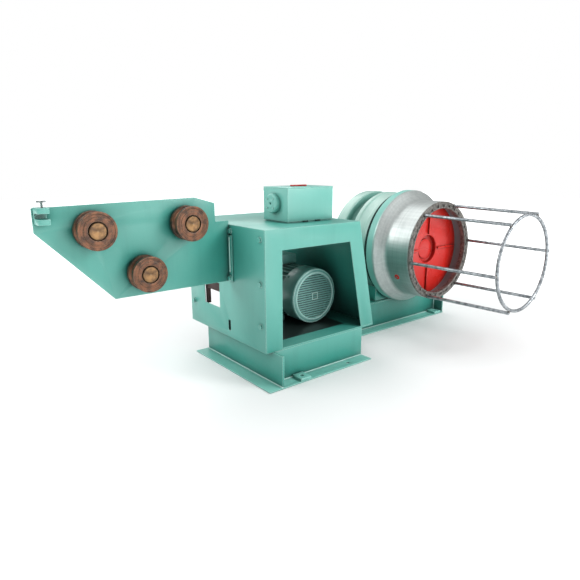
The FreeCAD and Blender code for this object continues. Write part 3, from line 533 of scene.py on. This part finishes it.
holder_low, holder_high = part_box("die_holder")
holder_y = (holder_low.y + holder_high.y) / 2
holder_z = (holder_low.z + holder_high.z) / 2
holder = turned([(0.0065, 0.004), (0.0105, 0), (0.026, 0), (0.028, 0.002), (0.056, 0.002), (0.064, 0.008),
                 (0.064, 0.038), (0.0065, 0.038)],
                (holder_low.x, holder_y, holder_z), RIGHT, steps=64)
break_edges(holder, 0.001, limit=40)
settle(holder, "die_holder_finished", "machine", "green_enamel", box_enamel, "die_holder")

box_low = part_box("die_box_body")[0]
holder_screws = []
for step in range(4):
    angle = math.radians(45 + 90 * step)
    holder_screws.append(((holder_low.x + 0.002, holder_y + 0.043 * math.cos(angle),
                           holder_z + 0.043 * math.sin(angle)), LEFT, 0))
settle(spread(hexagon_bolt(0.0055, 0.004, washer=False), holder_screws), "die_holder_screws", "machine",
       "green_enamel", box_enamel)

# Two small dark pads on the housing's top, against the foot of the box's front: painted shade for the shaded
# slots there.
shadow_iron = speckled("unlit_gap_iron", (0, 0, 1), 0.01, "#10201E", "#1D3330", 0.8)
pads = [bar((x, box_low.y - 0.003, 0.9950), (0.044, 0.008, 0.010), 0.0015) for x in (0.020, 0.130)]
settle(joined(pads), "die_box_slots", "machine", "dark_steel", shadow_iron)


# ---- guide arm with its three rollers ---------------------------------------------------
# A single flame-cut 14 mm plate, bolted to the housing's side. Each roller is a turned iron
# sheave with a round groove, on a headed pin that stands just proud of the sheave.

for node in ("arm_plate", "arm_mounting_strip"):
    dressed(node, 0.0020, "machine", "green_enamel", green_enamel)
# The strip closes with one smooth run of weld down its middle, above its lower bolt, coloured nearly white
# like the weld runs: a painted highlight.
strip_seam = turned([(0, 0), (0.003, 0.001), (0.004, 0.005), (0.004, 0.231), (0.003, 0.235), (0, 0.236)],
                    (strip_low.x, 0.014, strip_low.z + 0.062), (0, 0, 1), steps=16, ends_meet=False)
bpy.ops.object.shade_smooth_by_angle(angle=math.radians(40))
settle(strip_seam, "arm_strip_seam", "machine", "green_enamel", bead_enamel)


def worn_iron(name, centre, deep, rust, bright, rough=0.42, metal=0.65):
    """Turned iron gone brown: rings from the lathe, rust in soft blots, edges painted pale as highlight and
    where the wire rubs, darker in closed-in corners.
    """
    material = blank(name)
    spot = placed(material, centre)
    blot = add(material, "TexNoise", {}, {"Vector": spot, "Scale": 1 / 0.045, "Detail": 5.0,
                                          "Roughness": 0.6})
    rusty = add(material, "MapRange", {}, {"Value": blot.outputs["Fac"], "From Min": 0.40, "From Max": 0.60})
    base = add(material, "MixRGB", {}, {"Fac": rusty.outputs["Result"], "Color1": linear(deep),
                                        "Color2": linear(rust)})
    # Lathe rings 6 mm apart, coarser than the real 0.3 mm so that they show.
    rings = add(material, "TexWave", {"wave_type": "RINGS", "rings_direction": "Y"},
                {"Vector": spot, "Scale": 1 / 0.006 / 3.14, "Distortion": 0.2, "Detail": 1.0})
    ringed = add(material, "MixRGB", {"blend_type": "MULTIPLY"},
                 {"Fac": 0.05, "Color1": base.outputs["Color"], "Color2": rings.outputs["Color"]})
    # Edges paler: painted highlight, together with the iron rubbed bright there.
    edged = add(material, "MixRGB", {}, {"Fac": on_edges(material, 0.004, 0.98, 0.86, 0.75),
                                         "Color1": ringed.outputs["Color"], "Color2": linear(bright)})
    # Darker towards a deep brown where a place is closed in over 20 mm.
    darker_in_corners = add(material, "MixRGB", {}, {"Fac": in_corners(material, 0.02, 0.85, 0.30, 0.85),
                                         "Color1": edged.outputs["Color"], "Color2": linear("#231812")})
    bump = add(material, "Bump", {}, {"Height": blot.outputs["Fac"], "Strength": 0.25, "Distance": 0.001})
    skin = add(material, "BsdfPrincipled", {}, {"Base Color": darker_in_corners.outputs["Color"], "Metallic": metal,
                                                "Roughness": rough, "Normal": bump.outputs["Normal"]})
    add(material, "OutputMaterial", {}, {"Surface": skin.outputs["BSDF"]})
    return material


WHEEL = 0.105
GROOVE = 0.026
for number in (1, 2, 3):
    low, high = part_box("roller_%d" % number)
    at = Vector(((low.x + high.x) / 2, low.y, (low.z + high.z) / 2))
    # Front of the sheave is 0: recess round the pin, raised ring, web, rim, round groove, rim, back.
    groove = []
    for step in range(-60, 61, 12):
        angle = math.radians(step)
        groove.append((WHEEL + GROOVE - 0.015 - GROOVE * math.cos(angle), 0.046 + GROOVE * math.sin(angle)))
    wheel = turned([(0.0255, 0.012), (0.053, 0.012), (0.053, 0.0), (0.074, 0.0), (0.076, 0.004),
                    (0.090, 0.004), (0.093, 0.0), (0.103, 0.0), (WHEEL, 0.003)] + groove
                   + [(WHEEL, 0.089), (0.103, 0.092), (0.0255, 0.092)], at, (0, 1, 0), steps=96)
    break_edges(wheel, 0.0008, limit=38)
    wheel_iron = worn_iron("rusted_roller_iron_%d" % number, at + Vector((0.02 * number, 0.0, 0.0)),
                           "#46362F", "#7E5640", "#B09A80")
    settle(wheel, "roller_%d_wheel" % number, "roller_%d" % number, "roller_iron", wheel_iron,
           "roller_%d" % number)
    low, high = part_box("roller_axle_%d" % number)
    at = Vector(((low.x + high.x) / 2, low.y, (low.z + high.z) / 2))
    deep = high.y - low.y
    pin = turned([(0, 0.003), (0.008, 0.0), (0.042, 0.0), (0.046, 0.004), (0.046, 0.014), (0.025, 0.014),
                  (0.025, 0.096), (0.035, 0.096), (0.035, deep - 0.014), (0.025, deep - 0.014), (0.025, deep),
                  (0, deep)], at, (0, 1, 0), steps=64, ends_meet=False)
    break_edges(pin, 0.0008, limit=38)
    pin_iron = worn_iron("oiled_pin_iron_%d" % number, at, "#5A4432", "#94714A", "#C9B28C", rough=0.34)
    settle(pin, "roller_%d_pin" % number, "machine", "roller_iron", pin_iron, "roller_axle_%d" % number)

# The wire inlet: a slotted block on the arm's tip, clamped by a tee-headed screw.
dressed("inlet_guide", 0.0020, "machine", "green_enamel", green_enamel)


def bright_metal(name, centre, colour, dark, rough=0.30, pitch=0.02, spread_by=0.5,
                 metal=1.0):
    """Bare drawn or turned steel: cool grey, blotched by handling oil, with fine grain, darker in closed-in
    corners.
    """
    material = blank(name)
    spot = placed(material, centre)
    cloud = add(material, "TexNoise", {}, {"Vector": spot, "Scale": 1 / pitch, "Detail": 4.0})
    marks = add(material, "MapRange", {}, {"Value": cloud.outputs["Fac"], "From Min": 0.5 - spread_by / 4,
                                           "From Max": 0.5 + spread_by / 4})
    tone = add(material, "MixRGB", {}, {"Fac": marks.outputs["Result"], "Color1": linear(dark),
                                        "Color2": linear(colour)})
    # Darker towards near black where a place is closed in over 15 mm.
    darkened = add(material, "MixRGB", {}, {"Fac": in_corners(material, 0.015, 0.8, 0.2, 0.8),
                                        "Color1": tone.outputs["Color"], "Color2": linear("#1B1D1D")})
    dull = add(material, "MapRange", {}, {"Value": cloud.outputs["Fac"], "From Min": 0.3, "From Max": 0.7,
                                          "To Min": rough + 0.10, "To Max": rough - 0.06})
    bump = add(material, "Bump", {}, {"Height": cloud.outputs["Fac"], "Strength": 0.15, "Distance": 0.0008})
    skin = add(material, "BsdfPrincipled", {}, {"Base Color": darkened.outputs["Color"], "Metallic": metal,
                                                "Roughness": dull.outputs["Result"],
                                                "Normal": bump.outputs["Normal"]})
    add(material, "OutputMaterial", {}, {"Surface": skin.outputs["BSDF"]})
    return material


screw_low, screw_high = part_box("inlet_guide_screw")
screw_x = (screw_low.x + screw_high.x) / 2
screw_y = (screw_low.y + screw_high.y) / 2
stem_top = screw_high.z - screw_low.z - 0.004
THREAD = 0.0045
thread = [(0, 0)]
for step in range(14):
    thread += [(0.0058, THREAD * step), (0.0070, THREAD * step + 0.0022)]
thread += [(0.0058, THREAD * 14), (0.0058, stem_top), (0, stem_top)]
stem = turned(thread, (screw_x, screw_y, screw_low.z), (0, 0, 1), steps=20, ends_meet=False)
bpy.ops.object.shade_smooth_by_angle(angle=math.radians(20))
bpy.ops.mesh.primitive_cylinder_add(vertices=16, radius=0.005, depth=0.046,
                                    rotation=(0, math.radians(90), 0),
                                    location=(screw_x, screw_y, screw_high.z - 0.005))
tee = bpy.context.object
set_down()
break_edges(tee, 0.0015)
screw_steel = bright_metal("zinc_plated_screw", (screw_x, screw_y, screw_low.z), "#B9C1C0", "#6F7776",
                           pitch=0.008)
settle(joined([stem, tee]), "inlet_guide_screw_finished", "machine", "bright_steel", screw_steel,
       "inlet_guide_screw")


# ---- bed under the drum -----------------------------------------------------------------
# The same welded plate work as the pedestal, longer and narrower, with a top plate that
# carries the gearbox saddles.

for node in ("bed_webs", "bed_end_plate", "bed_top_plate"):
    dressed(node, 0.0015, "machine", "green_enamel", green_enamel)
for node in ("bed_base_plate", "bed_foot_pads"):
    dressed(node, 0.0015, "machine", "green_enamel", flange_enamel)
bed_web_low, bed_web_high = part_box("bed_webs")
bed_end_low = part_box("bed_end_plate")[0]
front, rear = bed_web_low.y, bed_web_high.y
bed_welds = joined([
    weld((bed_web_low.x, front, FLOOR_PLATE), (bed_web_high.x, front, FLOOR_PLATE), (0, -1, 1)),
    weld((bed_web_low.x, rear, FLOOR_PLATE), (bed_web_high.x, rear, FLOOR_PLATE), (0, 1, 1)),
    weld((bed_end_low.x, front, FLOOR_PLATE), (bed_end_low.x, front, bed_web_high.z), (-1, -1, 0)),
])
settle(bed_welds, "bed_welds", "machine", "green_enamel", bead_enamel)


# ---- gearbox behind the drum ------------------------------------------------------------
# Two round grey-iron castings bolted back to back on curved saddles, painted the same
# green, chalked nearly white: their colour is set pale all over, with painted shade in deeper greens.

pale_enamel = enamel("chalked_green_enamel", "#AFCFC5", "#98C0B5", "#356F66", "#D6EBE4",
                     centre=(1.309, 0.25, 0.681), streak=0.12, shade_colours=("#6FA79B", "#3E6F67"))
front_low, front_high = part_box("gearbox_front_casing")
rear_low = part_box("gearbox_rear_casing")[0]
drum_x = (front_low.x + front_high.x) / 2
drum_z = (front_low.z + front_high.z) / 2
AXIS = (0, 1, 0)
casing = turned([(0.0605, 0.0), (0.360, 0.0), (0.366, 0.006), (0.440, 0.006), (0.455, 0.016), (0.455, 0.060),
                 (0.447, 0.072), (0.447, 0.150), (0.455, 0.160), (0.455, 0.196), (0.448, 0.203), (0, 0.203),
                 (0, 0.0905), (0.0605, 0.0905)],
                (drum_x, front_low.y, drum_z), AXIS, steps=128, ends_meet=False)
break_edges(casing, 0.003, limit=25)
settle(casing, "gearbox_front_finished", "machine", "green_enamel", pale_enamel, "gearbox_front_casing")
back = turned([(0, 0), (0.380, 0), (0.380, 0.090), (0.394, 0.104), (0.446, 0.104), (0.455, 0.113),
               (0.455, 0.208), (0.446, 0.217), (0.330, 0.217), (0.324, 0.209), (0.130, 0.209), (0.124, 0.217),
               (0, 0.217)],
              (drum_x, rear_low.y, drum_z), AXIS, steps=128, ends_meet=False)
break_edges(back, 0.003, limit=25)
guard_low, guard_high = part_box("belt_guard")
rear_face = rear_low.y + 0.217
shaft_length = guard_low.y - rear_face
shaft = turned([(0, -0.01), (0.062, -0.01), (0.062, 0.020), (0.052, 0.028), (0.036, 0.028),
                (0.036, shaft_length), (0, shaft_length)],
               (drum_x, rear_face, drum_z - 0.161), AXIS, steps=48, ends_meet=False)
break_edges(shaft, 0.0015, limit=35)
settle(joined([back, shaft]), "gearbox_rear_finished", "machine", "green_enamel", pale_enamel,
       "gearbox_rear_casing")
dressed("gearbox_saddles", 0.002, "machine", "green_enamel", green_enamel)
case_bolts = []
for step in range(16):
    angle = 2 * math.pi * (step + 0.5) / 16
    out = Vector((math.cos(angle), 0, math.sin(angle)))
    # The front row stands on the waist side of the front casing, the rear row behind the flange.
    case_bolts.append((Vector((drum_x, front_low.y + 0.2025, drum_z)) + out * 0.418, BACK, 0.2 * step))
    case_bolts.append((Vector((drum_x, rear_low.y + 0.2165, drum_z)) + out * 0.418, BACK, 0.3 * step))
for step in range(6):
    angle = 2 * math.pi * step / 6
    out = Vector((math.cos(angle), 0, math.sin(angle)))
    case_bolts.append((Vector((drum_x, rear_low.y + 0.2165, drum_z)) + out * 0.098, BACK, 0.3 * step))
settle(spread(hexagon_bolt(0.013, 0.010), case_bolts), "gearbox_bolts", "machine", "green_enamel",
       pale_enamel)
# A black oil plug in the waist, high on the side towards the motor.
plug_angle = math.radians(148)
plug_out = Vector((math.cos(plug_angle), 0, math.sin(plug_angle)))
oil_plug = spread(hexagon_bolt(0.015, 0.012), [
    (Vector((drum_x, rear_low.y + 0.050, drum_z)) + plug_out * 0.380, plug_out, 0)])
settle(oil_plug, "gearbox_oil_plug", "machine", "dark_steel", shadow_iron)


# ---- drum -------------------------------------------------------------------------------
# The block that pulls the wire: a turned steel shell, ground bright by the wire, with a
# flared foot whose rim is painted. A rough dark ring ends its front, and a red ribbed web
# carries it from inside.

drum_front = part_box("drum_front_ring")[0].y
DRUM = 0.399
BORE = 0.379
shell = turned([(BORE, 0.018), (0.397, 0.018), (DRUM, 0.020), (DRUM, 0.2071), (0.4002, 0.2188),
                (0.4036, 0.2301), (0.4091, 0.2404), (0.4166, 0.2498), (0.430, 0.2650), (0.444, 0.2800),
                (0.468, 0.3020), (0.4735, 0.3080), (0.476, 0.3160), (0.476, 0.377), (0.473, 0.380),
                (0.456, 0.380), (0.456, 0.308), (BORE, 0.232)],
               (drum_x, drum_front, drum_z), AXIS, steps=192)
only(shell)
bpy.ops.object.shade_smooth_by_angle(angle=math.radians(32))

# Ground steel: axial scores where the wire slides, finer rings from the lathe, and green paint
# on the rim and just up the flare, thin enough at its edge to let the steel through.
drum_steel = blank("wire_polished_drum_steel")
axis_spot = (drum_x, drum_front, drum_z)
scores = add(drum_steel, "TexNoise", {}, {"Vector": placed(drum_steel, axis_spot, (60, 2.5, 60)),
                                          "Scale": 1.0, "Detail": 4.0})
rings = add(drum_steel, "TexNoise", {}, {"Vector": placed(drum_steel, axis_spot, (1.2, 110, 1.2)),
                                         "Scale": 1.0, "Detail": 3.0})
blots = add(drum_steel, "TexNoise", {}, {"Vector": placed(drum_steel, axis_spot), "Scale": 1 / 0.16,
                                         "Detail": 3.0})
mixed = add(drum_steel, "MixRGB", {}, {"Fac": 0.5, "Color1": scores.outputs["Color"],
                                       "Color2": rings.outputs["Color"]})
level = add(drum_steel, "MapRange", {}, {"Value": mixed.outputs["Color"], "From Min": 0.30, "From Max": 0.70})
steel = add(drum_steel, "MixRGB", {}, {"Fac": level.outputs["Result"], "Color1": linear("#AEB6B5"),
                                       "Color2": linear("#D3D8D6")})
stained = add(drum_steel, "MapRange", {}, {"Value": blots.outputs["Fac"], "From Min": 0.55, "From Max": 0.75,
                                           "To Min": 0.0, "To Max": 0.3})
darkened = add(drum_steel, "MixRGB", {}, {"Fac": stained.outputs["Result"], "Color1": steel.outputs["Color"],
                                      "Color2": linear("#8C9694")})
depth = add(drum_steel, "SeparateXYZ", {}, {"Vector": placed(drum_steel, axis_spot)})
wander = add(drum_steel, "Math", {"operation": "MULTIPLY_ADD"}, {0: blots.outputs["Fac"], 1: 0.012,
                                                                  2: depth.outputs["Y"]})
painted = add(drum_steel, "MapRange", {}, {"Value": wander.outputs["Value"], "From Min": 0.312,
                                           "From Max": 0.330})
# The bore is only rough turned and has gone a dull grey.
flat = add(drum_steel, "VectorMath", {"operation": "LENGTH"}, {0: placed(drum_steel, axis_spot, (1, 0, 1))})
bore = add(drum_steel, "MapRange", {}, {"Value": flat.outputs["Value"], "From Min": 0.388, "From Max": 0.382})
inside = add(drum_steel, "MixRGB", {}, {"Fac": bore.outputs["Result"], "Color1": darkened.outputs["Color"],
                                        "Color2": linear("#767D80")})
surface = add(drum_steel, "MixRGB", {}, {"Fac": painted.outputs["Result"], "Color1": inside.outputs["Color"],
                                         "Color2": linear("#7FBFB4")})
unmetal = add(drum_steel, "Math", {"operation": "MAXIMUM"}, {0: painted.outputs["Result"],
                                                             1: bore.outputs["Result"]})
bare = add(drum_steel, "MapRange", {}, {"Value": unmetal.outputs["Value"], "To Min": 1.0, "To Max": 0.0})
rough = add(drum_steel, "MapRange", {}, {"Value": level.outputs["Result"], "To Min": 0.50, "To Max": 0.42})
bump = add(drum_steel, "Bump", {}, {"Height": mixed.outputs["Color"], "Strength": 0.05, "Distance": 0.0005})
skin = add(drum_steel, "BsdfPrincipled", {}, {"Base Color": surface.outputs["Color"],
                                              "Metallic": bare.outputs["Result"],
                                              "Roughness": rough.outputs["Result"],
                                              "Normal": bump.outputs["Normal"]})
add(drum_steel, "OutputMaterial", {}, {"Surface": skin.outputs["BSDF"]})
settle(shell, "drum_shell_finished", "drum", "polished_steel", drum_steel, "drum_shell")

# A black ring on the gearbox's face, in the gap behind the drum: painted shade for the dark gap there, shaped
# as a felt seal.
gap_shade_paint = speckled("black_gap_shade", axis_spot, 0.006, "#0E2421", "#1D3A36", 0.9)
gap_shade_ring = turned([(0.395, 0.007), (0.397, -0.010), (0.446, -0.010), (0.452, -0.006), (0.456, 0.010),
               (0.456, 0.022), (0.440, 0.022), (0.440, 0.007)],
              (drum_x, front_low.y, drum_z), AXIS, steps=128)
break_edges(gap_shade_ring, 0.001)
settle(gap_shade_ring, "drum_gap_shade_ring", "machine", "dark_steel", gap_shade_paint)

# Front ring: rough turned and oily, in steps, with a row of hexagon screws.
ring = turned([(0.345, 0.004), (0.349, 0.0), (0.358, 0.0), (0.360, 0.005), (0.372, 0.005), (0.374, 0.0),
               (0.394, 0.0), (0.399, 0.005), (0.399, 0.018), (0.379, 0.018), (0.379, 0.044), (0.345, 0.044)],
              (drum_x, drum_front, drum_z), AXIS, steps=144)
break_edges(ring, 0.001, limit=35)
ring_steel = bright_metal("oily_turned_ring", axis_spot, "#85827D", "#45423F", rough=0.48, pitch=0.020,
                          spread_by=0.8, metal=0.45)
settle(ring, "drum_front_ring_finished", "drum", "dark_steel", ring_steel, "drum_front_ring")
ring_screws = []
for step in range(30):
    angle = 2 * math.pi * (step + 0.3) / 30
    out = Vector((math.cos(angle), 0, math.sin(angle)))
    ring_screws.append((Vector((drum_x, drum_front + 0.0045, drum_z)) + out * 0.366, (0, -1, 0), 0.5 * step))
settle(spread(hexagon_bolt(0.0110, 0.009), ring_screws), "drum_ring_bolts", "drum", "dark_steel", ring_steel)

# Red web: a disc with a sunken hub and four low ribs, painted gloss red inside the shell.
web = turned([(0.060, 0.168), (0.112, 0.168), (0.115, 0.165), (0.115, 0.134), (0.119, 0.130), (0.370, 0.130),
              (0.379, 0.125), (0.379, 0.154), (0.142, 0.154), (0.139, 0.157), (0.139, 0.206), (0.135, 0.210),
              (0.060, 0.210)],
             (drum_x, drum_front, drum_z), AXIS, steps=96)
break_edges(web, 0.0015, limit=35)
ribs = [web]
for step in range(4):
    rib = bar((0.247, 0.123, 0), (0.240, 0.018, 0.016), 0.003)
    rib.rotation_euler = (0, math.radians(90 * step), 0)
    rib.location = (drum_x, drum_front, drum_z)
    only(rib)
    set_down()
    ribs.append(rib)
settle(joined(ribs), "drum_web_finished", "drum", "red_enamel", red_enamel, "drum_web")

spindle_low, spindle_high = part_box("drum_spindle")
spindle_length = spindle_high.y - spindle_low.y
spindle = turned([(0, 0.002), (0.020, 0.0), (0.079, 0.0), (0.082, 0.003), (0.082, 0.010), (0.060, 0.010),
                  (0.060, spindle_length - 0.003), (0.057, spindle_length), (0, spindle_length)],
                 (drum_x, spindle_low.y, drum_z), AXIS, steps=72, ends_meet=False)
break_edges(spindle, 0.0010, limit=35)
settle(spindle, "drum_spindle_finished", "drum", "red_enamel", red_enamel, "drum_spindle")
# A round red plug closes the hole through which the wire's end is hooked into the drum.
plug_turn = math.radians(209)
plug_way = Vector((math.cos(plug_turn), 0, math.sin(plug_turn)))
plug_seat = Vector((drum_x, drum_front + 0.150, drum_z))
plug = turned([(0, 0), (0.0228, 0), (0.0228, 0.020), (0.0215, 0.0232), (0.015, 0.0246), (0, 0.0250)],
              plug_seat + plug_way * BORE, plug_way, steps=40, ends_meet=False)
bpy.ops.object.shade_smooth_by_angle(angle=math.radians(40))
settle(plug, "drum_plug_finished", "drum", "red_enamel", red_enamel, "drum_plug")
# A small bright steel screw head in the plug's middle, put there for the plug's highlight.
bright_end = turned([(0, 0), (0.0075, 0), (0.0075, 0.0010), (0.004, 0.0024), (0, 0.0028)],
                    plug_seat + plug_way * 0.4038, plug_way, steps=24, ends_meet=False)
bpy.ops.object.shade_smooth_by_angle(angle=math.radians(40))
settle(bright_end, "drum_plug_screw", "drum", "bright_steel", screw_steel)


# ---- wire collecting cage ---------------------------------------------------------------
# Six bars of bright drawn steel, 24 mm across, welded to the drum's ring and to the outside
# of a rolled hoop. They are scuffed by the coils that slide over them.

cage_steel = bright_metal("scuffed_drawn_bar", (drum_x, -0.7, drum_z), "#B3B8BC", "#7B8084", rough=0.42,
                          pitch=0.028, spread_by=0.6)
BAR = 0.012
hoop_low, hoop_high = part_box("cage_hoop")
HOOP = (hoop_high.x - hoop_low.x) / 2 - BAR
hoop_y = (hoop_low.y + hoop_high.y) / 2
bpy.ops.mesh.primitive_torus_add(major_radius=HOOP, minor_radius=BAR, major_segments=144,
                                 minor_segments=14, location=(drum_x, hoop_y, drum_z),
                                 rotation=(math.radians(90), 0, 0))
hoop = bpy.context.object
set_down()
bpy.ops.object.shade_smooth()
settle(hoop, "cage_hoop_finished", "drum", "bright_steel", cage_steel, "cage_hoop")

ROD_START = DRUM - 0.014
ROD_END = HOOP + BAR + BAR + 0.0002
ROD_LENGTH = 0.7020
rods = []
blobs = []
for step in range(6):
    angle = math.radians(8 + 60 * step)
    out = Vector((math.cos(angle), 0, math.sin(angle)))
    start = Vector((drum_x, drum_front, drum_z)) + out * ROD_START
    slope = (ROD_START - ROD_END) / (drum_front - hoop_y)
    along = (Vector((0, -1, 0)) - out * slope).normalized()
    rod = turned([(0, 0), (BAR, 0), (BAR, ROD_LENGTH - 0.002), (0.0110, ROD_LENGTH), (0, ROD_LENGTH)],
                 start, along, steps=20, ends_meet=False)
    bpy.ops.object.shade_smooth_by_angle(angle=math.radians(40))
    rods.append(rod)
    for along_rod, size, sink in ((0.004, 0.015, 0.0), (drum_front - hoop_y, 0.013, 0.0121)):
        bpy.ops.mesh.primitive_uv_sphere_add(segments=14, ring_count=9, radius=size,
                                             location=start + along * along_rod - out * sink)
        blob = bpy.context.object
        blob.scale = (1.0, 0.62, 1.0)
        set_down()
        bpy.ops.object.shade_smooth()
        blobs.append(blob)
settle(joined(rods), "cage_rods_finished", "drum", "bright_steel", cage_steel, "cage_rods")
weld_steel = bright_metal("blued_weld_metal", (drum_x, -0.7, drum_z), "#8A8884", "#3A3734", rough=0.42,
                          pitch=0.006)
settle(joined(blobs), "cage_welds", "drum", "bright_steel", weld_steel)


# ---- belt guard at the rear -------------------------------------------------------------
# A closed sheet cover over the belt from the motor to the gearbox, with its back panel set
# in a little and held by two rows of screws.

guard = copied("belt_guard")
bpy.ops.object.mode_set(mode="EDIT")
bpy.ops.mesh.select_mode(type="FACE")
bpy.ops.mesh.select_all(action="DESELECT")
shape = bmesh.from_edit_mesh(guard.data)
for flat in shape.faces:
    flat.select = flat.normal.y > 0.9
bmesh.update_edit_mesh(guard.data)
bpy.ops.mesh.inset(thickness=0.030)
bpy.ops.mesh.extrude_region_move(TRANSFORM_OT_translate={"value": (0, -0.010, 0)})
bpy.ops.object.mode_set(mode="OBJECT")
break_edges(guard, 0.003)
settle(guard, "belt_guard_finished", "machine", "green_enamel", green_enamel, "belt_guard")
GUARD_END = 0.200
guard_x = (guard_low.x + GUARD_END, guard_high.x - GUARD_END)
guard_z = (guard_low.z + GUARD_END, guard_high.z - GUARD_END)
guard_run = Vector((guard_x[1] - guard_x[0], 0, guard_z[1] - guard_z[0]))
guard_side = Vector((-guard_run.z, 0, guard_run.x)).normalized()
guard_screws = []
for part in (0.0, 0.25, 0.5, 0.75, 1.0):
    for side in (-1, 1):
        middle = Vector((guard_x[0], guard_high.y - 0.010, guard_z[0])) + guard_run * part
        guard_screws.append((middle + guard_side * side * 0.145, BACK, 0.3))
settle(spread(hexagon_bolt(0.009, 0.006), guard_screws), "belt_guard_screws", "machine", "green_enamel",
       green_enamel)


# ---- studio -----------------------------------------------------------------------------
# A pale painted floor, square soft lights from the front right, the front, the left and behind,
# and a white sky that is brightest overhead. None of it is part of the machine.

bpy.ops.mesh.primitive_plane_add(size=40, location=(0, 0, -0.001))
floor = bpy.context.object
floor.name = "floor"
floor_paint = blank("pale_floor_paint")
scuff = add(floor_paint, "TexNoise", {}, {"Vector": placed(floor_paint, (0, 0, 0)), "Scale": 1 / 0.8,
                                          "Detail": 3.0})
tone = add(floor_paint, "MixRGB", {}, {"Fac": scuff.outputs["Fac"], "Color1": linear("#F7F8F8"),
                                       "Color2": linear("#F2F4F4")})
# Far from the machine the floor glows, so that it runs into the white backdrop without a line.
away = add(floor_paint, "VectorMath", {"operation": "LENGTH"}, {0: placed(floor_paint, (0, 0, 0))})
glowing = add(floor_paint, "MapRange", {}, {"Value": away.outputs["Value"], "From Min": 2.4, "From Max": 5.5})
skin = add(floor_paint, "BsdfPrincipled", {}, {"Base Color": tone.outputs["Color"], "Roughness": 0.7,
                                               "Emission Color": (1, 1, 1, 1),
                                               "Emission Strength": glowing.outputs["Result"]})
add(floor_paint, "OutputMaterial", {}, {"Surface": skin.outputs["BSDF"]})
floor.data.materials.append(floor_paint)


def softbox(name, place, target, width, watts):
    """A square soft light that faces a point."""
    bpy.ops.object.light_add(type="AREA", location=place)
    lamp = bpy.context.object
    lamp.name = name
    lamp.data.size = width
    lamp.data.energy = watts
    lamp.rotation_mode = "QUATERNION"
    lamp.rotation_quaternion = (Vector(target) - Vector(place)).to_track_quat("-Z", "Y")


softbox("key_light", (3.4, -5.0, 4.2), (0.2, 0, 0.6), 2.4, 235)
softbox("front_panel", (0.8, -6.5, 1.4), (0, 0, 0.7), 3.6, 105)
softbox("window_light", (-4.8, 2.6, 4.4), (-0.2, 0, 0.6), 4.0, 235)
softbox("back_light", (1.5, 5.0, 5.0), (0.4, 0, 0.6), 4.5, 150)

sky = bpy.data.worlds.new("white_sky")
sky.use_nodes = True
bpy.context.scene.world = sky
glow = sky.node_tree.nodes["Background"]
glow.inputs["Color"].default_value = (1.0, 1.0, 1.0, 1.0)
# The sky is brighter overhead than at the horizon.
around = sky.node_tree.nodes.new("ShaderNodeTexCoord")
height = sky.node_tree.nodes.new("ShaderNodeSeparateXYZ")
rising = sky.node_tree.nodes.new("ShaderNodeMapRange")
rising.inputs["To Min"].default_value = 0.22
rising.inputs["To Max"].default_value = 0.78
sky.node_tree.links.new(around.outputs["Generated"], height.inputs["Vector"])
sky.node_tree.links.new(height.outputs["Z"], rising.inputs["Value"])
sky.node_tree.links.new(rising.outputs["Result"], glow.inputs["Strength"])
# The backdrop itself is white, brighter than the light that it gives.
backdrop = sky.node_tree.nodes.new("ShaderNodeBackground")
backdrop.inputs["Color"].default_value = (1.0, 1.0, 1.0, 1.0)
backdrop.inputs["Strength"].default_value = 1.0
seen = sky.node_tree.nodes.new("ShaderNodeLightPath")
either = sky.node_tree.nodes.new("ShaderNodeMixShader")
sky.node_tree.links.new(seen.outputs["Is Camera Ray"], either.inputs["Fac"])
sky.node_tree.links.new(glow.outputs["Background"], either.inputs[1])
sky.node_tree.links.new(backdrop.outputs["Background"], either.inputs[2])
sky.node_tree.links.new(either.outputs["Shader"], sky.node_tree.nodes["World Output"].inputs["Surface"])
bpy.context.scene.view_settings.view_transform = "Standard"
